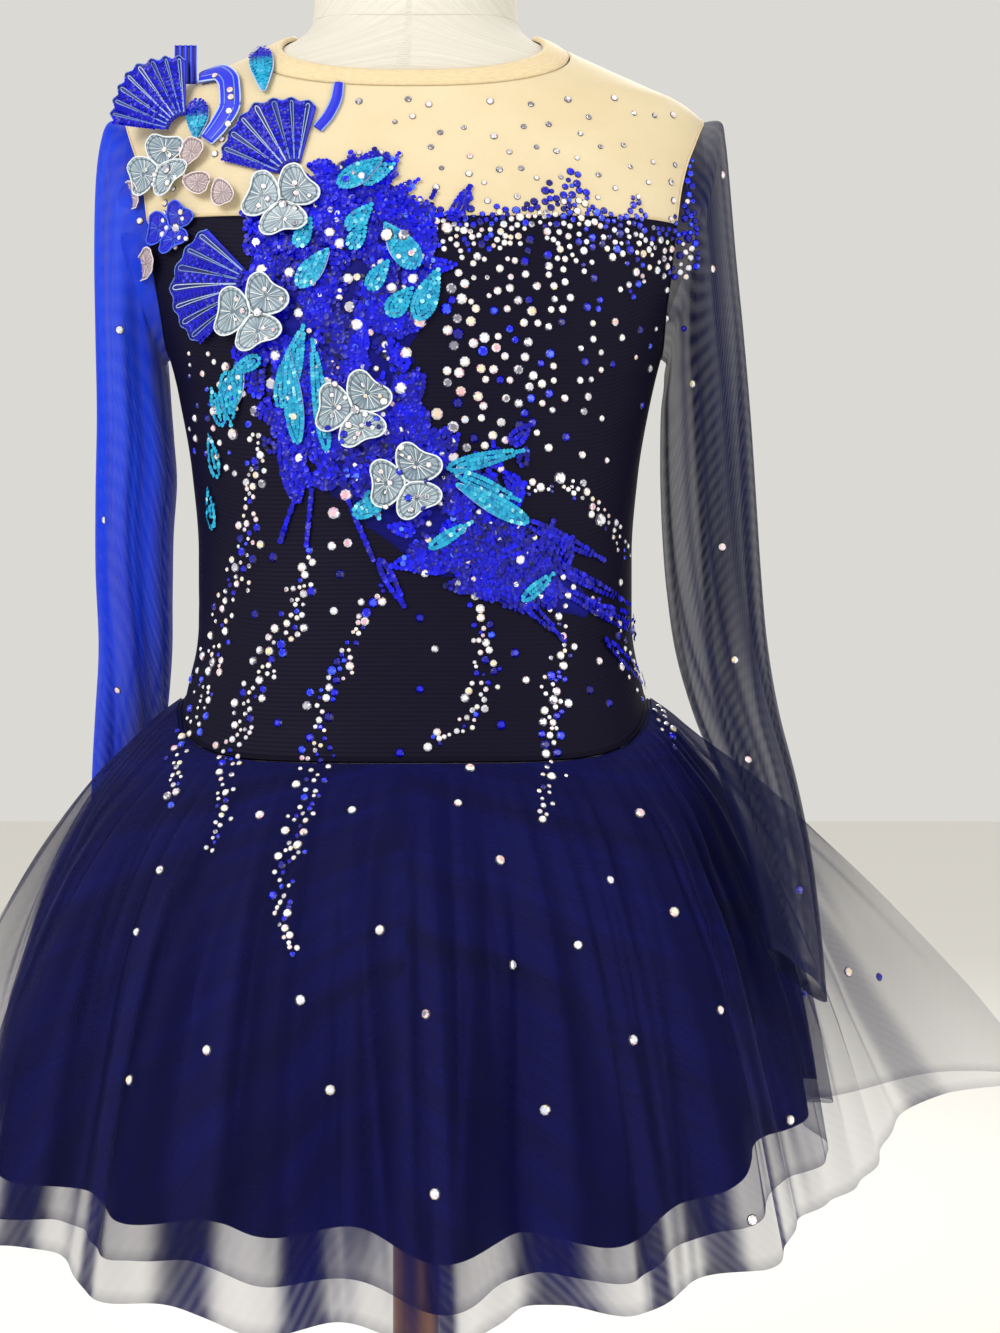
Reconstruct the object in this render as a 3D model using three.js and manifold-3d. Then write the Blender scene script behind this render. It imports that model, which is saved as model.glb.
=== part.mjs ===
// A figure skating dress, worn by a limbless dress form on a round-based stand.
// Millimetres, +Z up. The front of the dress faces -Y and +X is the wearer's left side.
// The origin is the centre of the base's underside, on the floor.
import * as THREE from "three";
import { mergeVertices } from "three/addons/utils/BufferGeometryUtils.js";
import Module from "manifold-3d";

const wasm = await Module();
wasm.setup();

// Driving dimensions
const CLEARANCE = 2; // between the form and the cloth
const CLOTH = 1.2; // wall of the bodice and yoke
const SEAM = 0.3; // gap between two pieces that are sewn together
const TULLE = 1.7; // wall of a skirt layer, measured level
const BODY_COLUMNS = 16; // columns of a front or back panel
const FORM_COLUMNS = 32;
const ARMHOLE = { z: 868, halfHeight: 66, halfDepth: 44, steps: 10 };
const SKIRT_COLUMNS = 96; // a multiple of the 32 columns round the waist
const PANEL_FACE = CLEARANCE + CLOTH; // how far the outside of the bodice lies from the form

const MATERIALS = {
  linen: { color: "#d9d2c4", roughness: 0.85, metalness: 0 },
  wood: { color: "#8a5a2b", roughness: 0.45, metalness: 0 },
  steel: { color: "#8d8f93", roughness: 0.35, metalness: 0.9 },
  nudeMesh: { color: "#e6cfa6", roughness: 0.7, metalness: 0 },
  navyKnit: { color: "#0c0b2b", roughness: 0.55, metalness: 0 },
  navyTulle: { color: "#0a1250", roughness: 0.75, metalness: 0 },
  blueMesh: { color: "#0a3fd6", roughness: 0.6, metalness: 0 },
  navyMesh: { color: "#15183f", roughness: 0.6, metalness: 0 },
  royalSequin: { color: "#1020c8", roughness: 0.3, metalness: 0.1 },
  tealSequin: { color: "#1c9bc4", roughness: 0.3, metalness: 0.1 },
  silverLace: { color: "#c3cdd6", roughness: 0.5, metalness: 0 },
};

// Horizontal sections of the dress form, from the neck's top to its flat underside.
// half is the half width, front and back the depths, and corner the power of the superellipse.
const FORM_SECTIONS = [
  { z: 1030, half: 42, front: 38, back: 41, corner: 2 },
  { z: 1024, half: 53, front: 48, back: 51, corner: 2 },
  { z: 1010, half: 57, front: 52, back: 55, corner: 2 },
  { z: 990, half: 58.5, front: 53, back: 56, corner: 2 },
  { z: 979, half: 66, front: 55, back: 60, corner: 2.05 },
  { z: 970, half: 83, front: 57, back: 63, corner: 2.1 },
  { z: 958, half: 109, front: 60, back: 66, corner: 2.2 },
  { z: 946, half: 136, front: 63, back: 69, corner: 2.25 },
  { z: 938, half: 153, front: 65, back: 71, corner: 2.3 },
  { z: 929, half: 162, front: 67, back: 73, corner: 2.3 },
  { z: 912, half: 164.5, front: 71, back: 76, corner: 2.35 },
  { z: 880, half: 161, front: 79, back: 80, corner: 2.4 },
  { z: 845, half: 151, front: 86, back: 82, corner: 2.4 },
  { z: 815, half: 140, front: 89, back: 80, corner: 2.35 },
  { z: 776, half: 130, front: 87, back: 76, corner: 2.3 },
  { z: 735, half: 123, front: 84, back: 72, corner: 2.25 },
  { z: 690, half: 119.5, front: 82, back: 71, corner: 2.2 },
  { z: 650, half: 119.5, front: 82, back: 74, corner: 2.2 },
  { z: 612, half: 126, front: 83, back: 82, corner: 2.2 },
  { z: 575, half: 137, front: 86, back: 93, corner: 2.2 },
  { z: 530, half: 146, front: 90, back: 100, corner: 2.2 },
  { z: 480, half: 147, front: 90, back: 100, corner: 2.2 },
  { z: 446, half: 140, front: 85, back: 94, corner: 2.2 },
  { z: 440, half: 133, front: 80, back: 88, corner: 2.2 },
];

// Level lines of the bodice and yoke: heights at the side seam, centre front and centre back.
// bow says how flat the line runs before it turns towards the side.
const BODICE_LINES = [
  { side: 608, front: 575, back: 585, bow: 2.4 },
  { side: 634, front: 606, back: 612, bow: 2.0 },
  { side: 662, front: 642, back: 645, bow: 1.6 },
  { side: 692, front: 678, back: 680, bow: 1.4 },
  { side: 722, front: 712, back: 712, bow: 1.2 },
  { side: 752, front: 744, back: 740, bow: 1 },
  { side: 779, front: 773, back: 766, bow: 1 },
];
// Centre heights of the lines that end at the armhole, from the underarm to the shoulder point.
const ARMHOLE_LINES = [
  { front: 798, back: 786 },
  { front: 806, back: 795 },
  { front: 819, back: 804 },
  { front: 833, back: 814 },
  { front: 848, back: 825 },
  { front: 863, back: 836 },
  { front: 877, back: 858 },
  { front: 890, back: 880 },
  { front: 902, back: 900 },
  { front: 911, back: 916 },
  { front: 918, back: 928 },
];
const TOP_EDGE = 5; // the armhole line at which the navy bodice ends and the nude yoke starts
const SHOULDER_LINES = [
  { side: 941.5, front: 921.5, back: 935, bow: 1 },
  { side: 949, front: 925, back: 942, bow: 1 },
  { side: 962, front: 931, back: 955, bow: 1 },
  { side: 973, front: 936.5, back: 968, bow: 1 },
];
const NECK_BAND = [
  { side: 973.6, front: 937, back: 968.6, bow: 1 },
  { side: 976.8, front: 941.5, back: 973, bow: 1 },
  { side: 980, front: 946, back: 977.5, bow: 1 },
];

// How far a skirt layer stands out from the waist seam, at each drop below it.
const SKIRT_PROFILE = [
  { drop: 0, flare: 0 },
  { drop: 8, flare: 10 },
  { drop: 22, flare: 23 },
  { drop: 45, flare: 42 },
  { drop: 80, flare: 61 },
  { drop: 120, flare: 75 },
  { drop: 170, flare: 87 },
  { drop: 220, flare: 96 },
  { drop: 270, flare: 104 },
  { drop: 330, flare: 112 },
];
// Layers from the body outwards. level is its place in the stack and length the drop of its hem.
const SKIRT_LAYERS = [
  { name: "skirt_base", level: 0, length: 228 },
  { name: "tulle_under", level: 1, length: 246 },
  { name: "tulle_top", level: 2, length: 262 },
];
const RING_DROPS = [0, 18, 58, 130]; // of the rings that every layer has above its hem
const FLUTE_DEPTH = 15; // of the shared flutes, at the hem, either way from the mean
// Where single folds of the top layer stand out, as places round the waist in radians.
const FLARES = [
  { at: 1.78, width: 0.3, reach: 150 },
  { at: -1.72, width: 0.22, reach: 62 },
];
// Where the hanging sleeves press the skirt in.
const DENTS = [
  { at: 1.16, width: 0.42, depth: 15 },
  { at: -2.02, width: 0.42, depth: 15 },
];

// Rings of the empty sleeves from the shoulder down. x, y and z are the ring's middle, across and
// depth its half sizes, rise how much higher its outer side is, and turn its angle seen from above.
const SLEEVE_LEFT = [
  { x: 158, y: 0, z: 867, across: 15, depth: 45, rise: 68.5, turn: 0 },
  { x: 159, y: 0, z: 858, across: 17, depth: 44.5, rise: 66, turn: 0 },
  { x: 160, y: 0, z: 842, across: 18.5, depth: 43, rise: 58, turn: 0 },
  { x: 161, y: 0, z: 816, across: 21, depth: 41, rise: 44, turn: 0 },
  { x: 163, y: 0, z: 785, across: 23.5, depth: 39, rise: 30, turn: 0 },
  { x: 165, y: 0, z: 750, across: 25.5, depth: 37.5, rise: 19, turn: 0 },
  { x: 167, y: -1, z: 712, across: 26.5, depth: 36, rise: 11, turn: 0 },
  { x: 169.5, y: -3, z: 674, across: 26.5, depth: 34, rise: 6, turn: 2 },
  { x: 173, y: -12, z: 636, across: 25.5, depth: 30, rise: 3, turn: 8 },
  { x: 179, y: -33, z: 600, across: 24, depth: 23, rise: 1, turn: 20 },
  { x: 188, y: -58, z: 565, across: 23.5, depth: 16, rise: 0, turn: 32 },
  { x: 196, y: -77, z: 528, across: 22.5, depth: 13, rise: -3, turn: 38 },
  { x: 201, y: -87, z: 492, across: 21.5, depth: 12, rise: -9, turn: 40 },
  { x: 204, y: -93, z: 464, across: 20.5, depth: 11, rise: -16, turn: 40 },
];
const SLEEVE_RIGHT = [
  { x: 158, y: 0, z: 867, across: 15, depth: 45, rise: 68.5, turn: 0 },
  { x: 160, y: 0, z: 858, across: 18, depth: 44.5, rise: 66, turn: 0 },
  { x: 161, y: 0, z: 842, across: 20, depth: 43, rise: 58, turn: 0 },
  { x: 161, y: 0, z: 816, across: 21, depth: 41, rise: 44, turn: 0 },
  { x: 160, y: 0, z: 785, across: 21.5, depth: 39, rise: 30, turn: 0 },
  { x: 159, y: 1, z: 750, across: 22, depth: 37.5, rise: 19, turn: 0 },
  { x: 160.5, y: 2, z: 712, across: 21.5, depth: 36, rise: 11, turn: 0 },
  { x: 161.5, y: 6, z: 674, across: 21.5, depth: 34, rise: 6, turn: -2 },
  { x: 163, y: 18, z: 636, across: 21, depth: 30, rise: 3, turn: -8 },
  { x: 170, y: 44, z: 600, across: 21, depth: 23, rise: 1, turn: -20 },
  { x: 178, y: 70, z: 565, across: 21, depth: 16, rise: 0, turn: -34 },
  { x: 184, y: 90, z: 528, across: 21, depth: 13, rise: -3, turn: -40 },
  { x: 188, y: 101, z: 492, across: 20.5, depth: 12, rise: -9, turn: -42 },
  { x: 191, y: 108, z: 464, across: 20, depth: 11, rise: -16, turn: -42 },
];
const SLEEVE_CLOTH = 1.3;
const ARMHOLE_GAP = 0.8; // between a sleeve and the edge of its armhole
// Lengthwise folds of an empty sleeve: where they are round it, in degrees from its inner side.
const SLEEVE_FOLDS = [
  { at: 62, width: 20, depth: 0.2 },
  { at: 128, width: 20, depth: 0.16 },
  { at: 236, width: 22, depth: 0.2 },
  { at: 300, width: 20, depth: 0.14 },
];

// Appliques on the front, in millimetres across (x) and up (z) as seen from the front.
const FLOWERS = [
  { name: "flower_shoulder", x: -133, z: 896, radius: 18, turn: 75, seat: 1.4 },
  { name: "flower_upper", x: -67, z: 871, radius: 21, turn: 40, seat: 1.02 },
  { name: "flower_side", x: -80, z: 813, radius: 20.5, turn: 50, seat: 2.2 },
  { name: "flower_middle", x: -28, z: 761, radius: 21, turn: 52, seat: 1.02 },
  { name: "flower_low", x: -1, z: 723, radius: 21, turn: 62, seat: 1.15 },
  { name: "flower_beaded", x: -127, z: 863, radius: 14, turn: 50, seat: 0, color: "royalSequin" },
];
// One two-lobed petal's edge, as shares of the radius, every 20 degrees from the notch in its middle.
const PETAL_EDGE = [0.87, 1, 0.92, 0.5, 0.92, 1];
// Striped fans: from and to are the angles of their end ribs, in degrees from +X.
const FANS = [
  { name: "fan_chest", x: -60, z: 884, inner: 9, outer: 50, from: 76, to: 160, ribs: 7, seat: 0 },
  { name: "fan_side", x: -78, z: 828, inner: 10, outer: 50, from: 132, to: 218, ribs: 7, seat: 0.4 },
];
const SHOULDER_FAN = { x: -122, y: -57.6, z: 915, inner: 10, outer: 50, from: 92, to: 168, ribs: 8 };
const FAN_LEAN = 0.22; // how much the standing fan leans back, for each millimetre of its radius
// Leaves: from (x, z) to (x, z), with the half width in the middle and the half width at its end.
const LEAVES = [
  { name: "leaf_neckline", x0: -36, z0: 879, x1: -15, z1: 893, half: 5.5, end: 1.2, seat: 1 },
  { name: "leaf_chest", x0: 4, z0: 835, x1: -12, z1: 857, half: 7, end: 1.2, seat: 1 },
  { name: "leaf_bust", x0: -56, z0: 826, x1: -42, z1: 844, half: 5.5, end: 1.2, seat: 1 },
  { name: "leaf_side", x0: -97, z0: 764, x1: -88, z1: 788, half: 6, end: 1.2, seat: 0 },
  { name: "leaf_spear", x0: -57, z0: 745, x1: -62, z1: 792, half: 4.5, end: 1, seat: 1 },
  { name: "leaf_shoulder", x0: -114, z0: 931, x1: -114.5, z1: 911, half: 6, end: 1.5, seat: 0 },
  { name: "leaf_waist", x0: 60, z0: 703, x1: 25, z1: 722, half: 4.8, end: 1, seat: 1.3 },
];
const SHOULDER_DROP = { x0: -81, z0: 961, x1: -78, z1: 934, half: 6.5, end: 1 };
const SHOULDER_STEM = [
  { x: -49, z: 912, half: 2.6 },
  { x: -43, z: 920, half: 2.8 },
  { x: -39, z: 930, half: 2.8 },
  { x: -38, z: 938, half: 2.4 },
];
const SHOULDER_LOOP = [
  { x: -115, z: 946, half: 5 },
  { x: -105, z: 947, half: 5.5 },
  { x: -97, z: 939, half: 5.5 },
  { x: -96, z: 928, half: 5.5 },
  { x: -101, z: 917, half: 5 },
  { x: -108, z: 908, half: 4 },
];
const SHOULDER_TAB = { x: -124, top: 966, bottom: 945, half: 6, y: -44.9, wall: 2 };
// The sequined lace that sweeps from the neckline to the wearer's left waist.
const LACE_SPRAY = [
  { x: -16, z: 884, left: 22, right: 22 },
  { x: -28, z: 862, left: 38, right: 44 },
  { x: -34, z: 838, left: 52, right: 50 },
  { x: -34, z: 812, left: 48, right: 46 },
  { x: -32, z: 786, left: 40, right: 36 },
  { x: -24, z: 758, left: 36, right: 32 },
  { x: -8, z: 732, left: 34, right: 28 },
  { x: 16, z: 710, left: 32, right: 24 },
  { x: 44, z: 690, left: 26, right: 20 },
  { x: 72, z: 671, left: 16, right: 14 },
  { x: 94, z: 656, left: 5, right: 5 },
];
const LACE_WALL = 1.2;
const APPLIQUE_WALL = 1.3;

const NECK_BUTTON = { x: 4.6, z: 972.6, radius: 4, wall: 2.2 };
const BACK_SLIT = { width: 1.2, from: 892, to: 990 };

const STAND = {
  baseRadius: 150,
  baseRim: 9,
  baseCrown: 24,
  poleRadius: 13,
  collarRadius: 24,
  collarHeight: 34,
  flangeRadius: 52,
  flangeHeight: 10,
};

const degrees = THREE.MathUtils.degToRad;
const part = new THREE.Group();

function addPiece(name, geometry, material) {
  geometry.computeVertexNormals();
  const mesh = new THREE.Mesh(geometry, new THREE.MeshStandardMaterial(MATERIALS[material]));
  mesh.name = name;
  part.add(mesh);
  return mesh;
}

// Smooth values between the rows of a table whose key column only rises or only falls.
function smoothColumn(rows, key, column) {
  const sorted = [...rows].sort((a, b) => a[key] - b[key]);
  const slopes = sorted.slice(1).map((row, i) => {
    const before = sorted[i];
    return (row[column] - before[column]) / (row[key] - before[key]);
  });
  const tangents = sorted.map((row, i) => {
    if (i === 0) return slopes[0];
    if (i === sorted.length - 1) return slopes[i - 1];
    const [before, after] = [slopes[i - 1], slopes[i]];
    return before * after <= 0 ? 0 : (2 * before * after) / (before + after);
  });
  return (at) => {
    const top = sorted.length - 1;
    const x = THREE.MathUtils.clamp(at, sorted[0][key], sorted[top][key]);
    let i = 0;
    while (i < top - 1 && x > sorted[i + 1][key]) i += 1;
    const width = sorted[i + 1][key] - sorted[i][key];
    const t = (x - sorted[i][key]) / width;
    return (
      sorted[i][column] * (1 + 2 * t) * (1 - t) ** 2 +
      tangents[i] * width * t * (1 - t) ** 2 +
      sorted[i + 1][column] * t * t * (3 - 2 * t) +
      tangents[i + 1] * width * t * t * (t - 1)
    );
  };
}

// A closed wall between two grids of points. A closed grid joins its last column to its first.
function wallBetween(outer, inner, closed) {
  const rows = outer.length;
  const columns = outer[0].length;
  const points = [...outer.flat(), ...inner.flat()];
  const index = [];
  const at = (side, i, j) => side * rows * columns + i * columns + (j % columns);
  const quad = (a, b, c, d) => index.push(a, b, c, a, c, d);
  const spans = closed ? columns : columns - 1;
  for (let j = 0; j < spans; j += 1) {
    for (let i = 0; i < rows - 1; i += 1) {
      quad(at(0, i, j), at(0, i, j + 1), at(0, i + 1, j + 1), at(0, i + 1, j));
      quad(at(1, i, j), at(1, i + 1, j), at(1, i + 1, j + 1), at(1, i, j + 1));
    }
    quad(at(0, 0, j), at(1, 0, j), at(1, 0, j + 1), at(0, 0, j + 1));
    quad(at(0, rows - 1, j), at(0, rows - 1, j + 1), at(1, rows - 1, j + 1), at(1, rows - 1, j));
  }
  if (!closed) {
    const last = columns - 1;
    for (let i = 0; i < rows - 1; i += 1) {
      quad(at(0, i, 0), at(0, i + 1, 0), at(1, i + 1, 0), at(1, i, 0));
      quad(at(0, i, last), at(1, i, last), at(1, i + 1, last), at(0, i + 1, last));
    }
  }
  return facingOut(points, index);
}

function facingOut(points, index) {
  let volume = 0;
  const cross = new THREE.Vector3();
  for (let i = 0; i < index.length; i += 3) {
    const [a, b, c] = [points[index[i]], points[index[i + 1]], points[index[i + 2]]];
    volume += a.dot(cross.crossVectors(b, c));
  }
  const reversed = () => index.flatMap((v, i) => (i % 3 ? [] : [v, index[i + 2], index[i + 1]]));
  return new THREE.BufferGeometry().setFromPoints(points).setIndex(volume < 0 ? reversed() : index);
}

function toSolid(geometry) {
  const bare = geometry.clone();
  bare.deleteAttribute("normal");
  bare.deleteAttribute("uv");
  const merged = mergeVertices(bare, 1e-3);
  const mesh = new wasm.Mesh({
    numProp: 3,
    vertProperties: new Float32Array(merged.attributes.position.array),
    triVerts: new Uint32Array(merged.index.array),
  });
  return new wasm.Manifold(mesh);
}

function fromSolid(solid) {
  const mesh = solid.getMesh();
  return new THREE.BufferGeometry()
    .setAttribute("position", new THREE.BufferAttribute(new Float32Array(mesh.vertProperties), 3))
    .setIndex(new THREE.BufferAttribute(new Uint32Array(mesh.triVerts), 1));
}

const formHalf = smoothColumn(FORM_SECTIONS, "z", "half");
const formFront = smoothColumn(FORM_SECTIONS, "z", "front");
const formBack = smoothColumn(FORM_SECTIONS, "z", "back");
const formCorner = smoothColumn(FORM_SECTIONS, "z", "corner");

// A point of the form's surface. u is 0 at centre front, a quarter turn at the wearer's left side.
function formPoint(u, z) {
  const power = 2 / formCorner(z);
  const depth = Math.cos(u) >= 0 ? formFront(z) : formBack(z);
  const rounded = (value) => Math.sign(value) * Math.abs(value) ** power;
  return new THREE.Vector3(formHalf(z) * rounded(Math.sin(u)), -depth * rounded(Math.cos(u)), z);
}

function formNormal(u, z) {
  const step = 0.02;
  const rise = 1.5;
  const across = formPoint(u + step, z).sub(formPoint(u - step, z));
  const up = formPoint(u, z + rise).sub(formPoint(u, z - rise));
  return across.cross(up).normalize();
}

const overForm = (u, z, out) => formPoint(u, z).addScaledVector(formNormal(u, z), out);

// How far round from centre front (or back) a panel runs before it is so deep, in millimetres.
function panelEnd(z, deep, isBack) {
  const depth = isBack ? formBack(z) : formFront(z);
  return Math.acos((deep / depth) ** (formCorner(z) / 2));
}

// The place on the front of the form that shows at (x, z) from the front.
function overFront(x, z, out) {
  const share = Math.min(0.999, Math.abs(x) / formHalf(z));
  const u = Math.sign(x) * Math.asin(share ** (formCorner(z) / 2));
  return overForm(u, z, out);
}

const armholeAngle = (step) => (Math.PI * step) / ARMHOLE.steps;
const armholeHeight = (step) => ARMHOLE.z - ARMHOLE.halfHeight * Math.cos(armholeAngle(step));

// All the level lines from the waist to the neck, each with how deep its end lies from the side.
const LEVEL_LINES = [
  ...BODICE_LINES.map((line) => ({ ...line, deep: 0 })),
  ...ARMHOLE_LINES.map((line, step) => ({
    ...line,
    side: armholeHeight(step),
    bow: 1,
    deep: ARMHOLE.halfDepth * Math.sin(armholeAngle(step)),
  })),
  ...SHOULDER_LINES.map((line) => ({ ...line, deep: 0 })),
];
const EDGE_LINE = BODICE_LINES.length + TOP_EDGE;

function lineHeight(line, share, isBack) {
  const middle = isBack ? line.back : line.front;
  return line.side + (middle - line.side) * Math.cos((Math.PI / 2) * Math.abs(share) ** line.bow) ** 2;
}

// One row of a front or back panel: points from one side to the other, that far from the form.
function panelRow(line, isBack, out, lift) {
  const end = panelEnd(line.side, line.deep + SEAM / 2, isBack);
  return Array.from({ length: BODY_COLUMNS + 1 }, (_, j) => {
    const share = (2 * j) / BODY_COLUMNS - 1;
    const u = (isBack ? Math.PI : 0) + share * end;
    return overForm(u, lineHeight(line, share, isBack) + lift, out);
  });
}

function panel(lines, isBack, lowLift, highLift) {
  const lift = (i) => (i === 0 ? lowLift : i === lines.length - 1 ? highLift : 0);
  const rows = (out) => lines.map((line, i) => panelRow(line, isBack, out, lift(i)));
  return wallBetween(rows(PANEL_FACE), rows(CLEARANCE), false);
}

function buildForm() {
  const rings = FORM_SECTIONS.map(({ z }) =>
    Array.from({ length: FORM_COLUMNS }, (_, j) => formPoint((2 * Math.PI * j) / FORM_COLUMNS, z)),
  );
  const last = FORM_SECTIONS.length - 1;
  const points = [...rings.flat(), new THREE.Vector3(0, 0, FORM_SECTIONS[0].z + 2)];
  points.push(new THREE.Vector3(0, 0, FORM_SECTIONS[last].z));
  const index = [];
  const at = (i, j) => i * FORM_COLUMNS + (j % FORM_COLUMNS);
  const top = points.length - 2;
  for (let j = 0; j < FORM_COLUMNS; j += 1) {
    index.push(top, at(0, j), at(0, j + 1), top + 1, at(last, j + 1), at(last, j));
    for (let i = 0; i < last; i += 1) {
      index.push(at(i, j), at(i + 1, j), at(i + 1, j + 1), at(i, j), at(i + 1, j + 1), at(i, j + 1));
    }
  }
  addPiece("dress_form", facingOut(points, index), "linen");
}

function buildStand() {
  const lathe = (name, profile, material, segments) => {
    const outline = profile.map(([radius, height]) => new THREE.Vector2(radius, height));
    addPiece(name, new THREE.LatheGeometry(outline, segments).rotateX(Math.PI / 2), material);
  };
  const formUnderside = FORM_SECTIONS.at(-1).z;
  const { baseRadius, baseRim, baseCrown, poleRadius, collarRadius, collarHeight } = STAND;
  const baseProfile = [
    [0, 0],
    [baseRadius - 3, 0],
    [baseRadius, 3],
    [baseRadius, baseRim],
    [baseRadius - 6, baseRim + 4],
    [baseRadius * 0.55, baseCrown - 6],
    [collarRadius + 6, baseCrown],
    [collarRadius, baseCrown + 4],
    [collarRadius - 4, baseCrown + collarHeight],
    [0, baseCrown + collarHeight],
  ];
  lathe("stand_base", baseProfile, "wood", 32);
  const poleFoot = baseCrown + collarHeight + SEAM;
  const flangeFoot = formUnderside - SEAM - STAND.flangeHeight;
  const poleProfile = [
    [0, poleFoot],
    [poleRadius, poleFoot],
    [poleRadius, flangeFoot - 16 - SEAM],
    [0, flangeFoot - 16 - SEAM],
  ];
  lathe("stand_pole", poleProfile, "wood", 24);
  const flangeProfile = [
    [0, flangeFoot - 16],
    [poleRadius + 5, flangeFoot - 16],
    [poleRadius + 7, flangeFoot - 2],
    [STAND.flangeRadius, flangeFoot + 3],
    [STAND.flangeRadius, formUnderside - SEAM],
    [0, formUnderside - SEAM],
  ];
  lathe("stand_flange", flangeProfile, "steel", 32);
}

// A slit from the neck down the middle of the back lets the head through.
function cutBackSlit(geometry) {
  const height = BACK_SLIT.to - BACK_SLIT.from;
  const blade = new THREE.BoxGeometry(BACK_SLIT.width, 60, height);
  blade.translate(0, 85, BACK_SLIT.from + height / 2);
  return fromSolid(toSolid(geometry).subtract(toSolid(blade)));
}

function buildBodice() {
  const lower = LEVEL_LINES.slice(0, EDGE_LINE + 1);
  const upper = LEVEL_LINES.slice(EDGE_LINE);
  addPiece("bodice_front", panel(lower, false, 0, 0), "navyKnit");
  addPiece("bodice_back", panel(lower, true, 0, 0), "navyKnit");
  addPiece("yoke_front", panel(upper, false, SEAM, 0), "nudeMesh");
  addPiece("yoke_back", cutBackSlit(panel(upper, true, SEAM, 0)), "nudeMesh");
}

function buildNeckBand() {
  const ring = (line, out) =>
    Array.from({ length: FORM_COLUMNS }, (_, j) => {
      const u = (2 * Math.PI * j) / FORM_COLUMNS;
      const isBack = Math.cos(u) < 0;
      const fromMiddle = isBack ? Math.PI - Math.min(u, 2 * Math.PI - u) : Math.min(u, 2 * Math.PI - u);
      return overForm(u, lineHeight(line, fromMiddle / (Math.PI / 2), isBack), out);
    });
  const faces = [PANEL_FACE + 0.1, PANEL_FACE + 0.7, PANEL_FACE + 0.1];
  const outer = NECK_BAND.map((line, i) => ring(line, faces[i]));
  const inner = NECK_BAND.map((line) => ring(line, 0.8));
  addPiece("neck_band", cutBackSlit(wallBetween(outer, inner, true)), "nudeMesh");
}

function buildNeckButton() {
  const { x, z, radius, wall } = NECK_BUTTON;
  const u = Math.PI - Math.asin((x / formHalf(z)) ** (formCorner(z) / 2));
  const normal = formNormal(u, z);
  const outline = [
    [0, 0],
    [radius * 0.8, 0],
    [radius, wall * 0.4],
    [radius, wall * 0.7],
    [radius * 0.8, wall],
    [0, wall],
  ].map(([across, height]) => new THREE.Vector2(across, height));
  const button = addPiece("neck_button", new THREE.LatheGeometry(outline, 16), "nudeMesh");
  button.quaternion.setFromUnitVectors(new THREE.Vector3(0, 1, 0), normal);
  button.position.copy(overForm(u, z, PANEL_FACE + 1.05));
}

// A sleeve is a limp, empty tube from the armhole. side is 1 on the wearer's left and -1 on the right.
function buildSleeve(name, rings, side, material) {
  const columns = 2 * ARMHOLE.steps;
  const angle = (j) => (2 * Math.PI * j) / columns;
  const foldAt = (psi, share) => {
    const turn = THREE.MathUtils.radToDeg(psi);
    const trough = ({ at, width, depth }) => depth * Math.exp(-(((turn - at) / width) ** 2));
    const sum = SLEEVE_FOLDS.reduce((total, fold) => total + trough(fold), 0);
    return 1 - sum * Math.min(1, share * 3);
  };
  const armholeRing = (inset) =>
    Array.from({ length: columns }, (_, j) => {
      const z = ARMHOLE.z - (ARMHOLE.halfHeight - inset) * Math.cos(angle(j));
      const y = -(ARMHOLE.halfDepth - inset) * Math.sin(angle(j));
      const isBack = y > 0;
      const end = panelEnd(z, Math.max(Math.abs(y), 0.001), isBack);
      const point = overForm(isBack ? Math.PI - end : end, z, CLEARANCE);
      return point.setX(point.x * side);
    });
  const hangingRing = (ring, share, inset) =>
    Array.from({ length: columns }, (_, j) => {
      const psi = angle(j);
      const fold = foldAt(psi, share);
      const along = -Math.cos(psi) * ring.across * fold;
      const deep = -Math.sin(psi) * ring.depth * fold;
      const turn = degrees(ring.turn);
      const spoke = new THREE.Vector3(
        along * Math.cos(turn) - deep * Math.sin(turn),
        along * Math.sin(turn) + deep * Math.cos(turn),
        -Math.cos(psi) * ring.rise * fold,
      );
      spoke.multiplyScalar(1 - inset / spoke.length());
      return new THREE.Vector3(side * (ring.x + spoke.x), ring.y + spoke.y, ring.z + spoke.z);
    });
  const share = (i) => (i + 1) / rings.length;
  const outer = [armholeRing(ARMHOLE_GAP), ...rings.map((ring, i) => hangingRing(ring, share(i), 0))];
  const inner = [
    armholeRing(ARMHOLE_GAP + SLEEVE_CLOTH),
    ...rings.map((ring, i) => hangingRing(ring, share(i), SLEEVE_CLOTH)),
  ];
  addPiece(name, wallBetween(outer, inner, true), material);
}

const skirtFlare = smoothColumn(SKIRT_PROFILE, "drop", "flare");

// A smooth bump of height 1 round the place at, on a circle.
function bump(u, at, width) {
  const away = THREE.MathUtils.euclideanModulo(u - at + Math.PI, 2 * Math.PI) - Math.PI;
  return Math.exp(-((away / width) ** 2));
}

// Flutes that all the layers share, uneven in width and depth.
function fluteWave(u) {
  const narrow = Math.sin(16 * u + 1.1 * Math.sin(3 * u));
  const wide = Math.sin(11 * u + 0.8 + 0.9 * Math.sin(2 * u));
  return 0.62 * narrow + 0.38 * wide;
}

const FULL_DROP = SKIRT_PROFILE.at(-1).drop;

// The waist seam of the bodice: straight between the ends of the panels' own columns.
function seamPoint(u, out) {
  const step = (2 * Math.PI) / FORM_COLUMNS;
  const corner = (k) => {
    const at = k * step;
    const isBack = Math.cos(at) < -1e-6;
    const fromMiddle = Math.abs(Math.atan2(Math.sin(at), Math.abs(Math.cos(at)))) / (Math.PI / 2);
    return overForm(at, lineHeight(BODICE_LINES[0], fromMiddle, isBack), out);
  };
  const k = Math.floor(u / step + 1e-6);
  return corner(k).lerp(corner(k + 1), Math.max(0, u / step - k));
}

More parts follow.
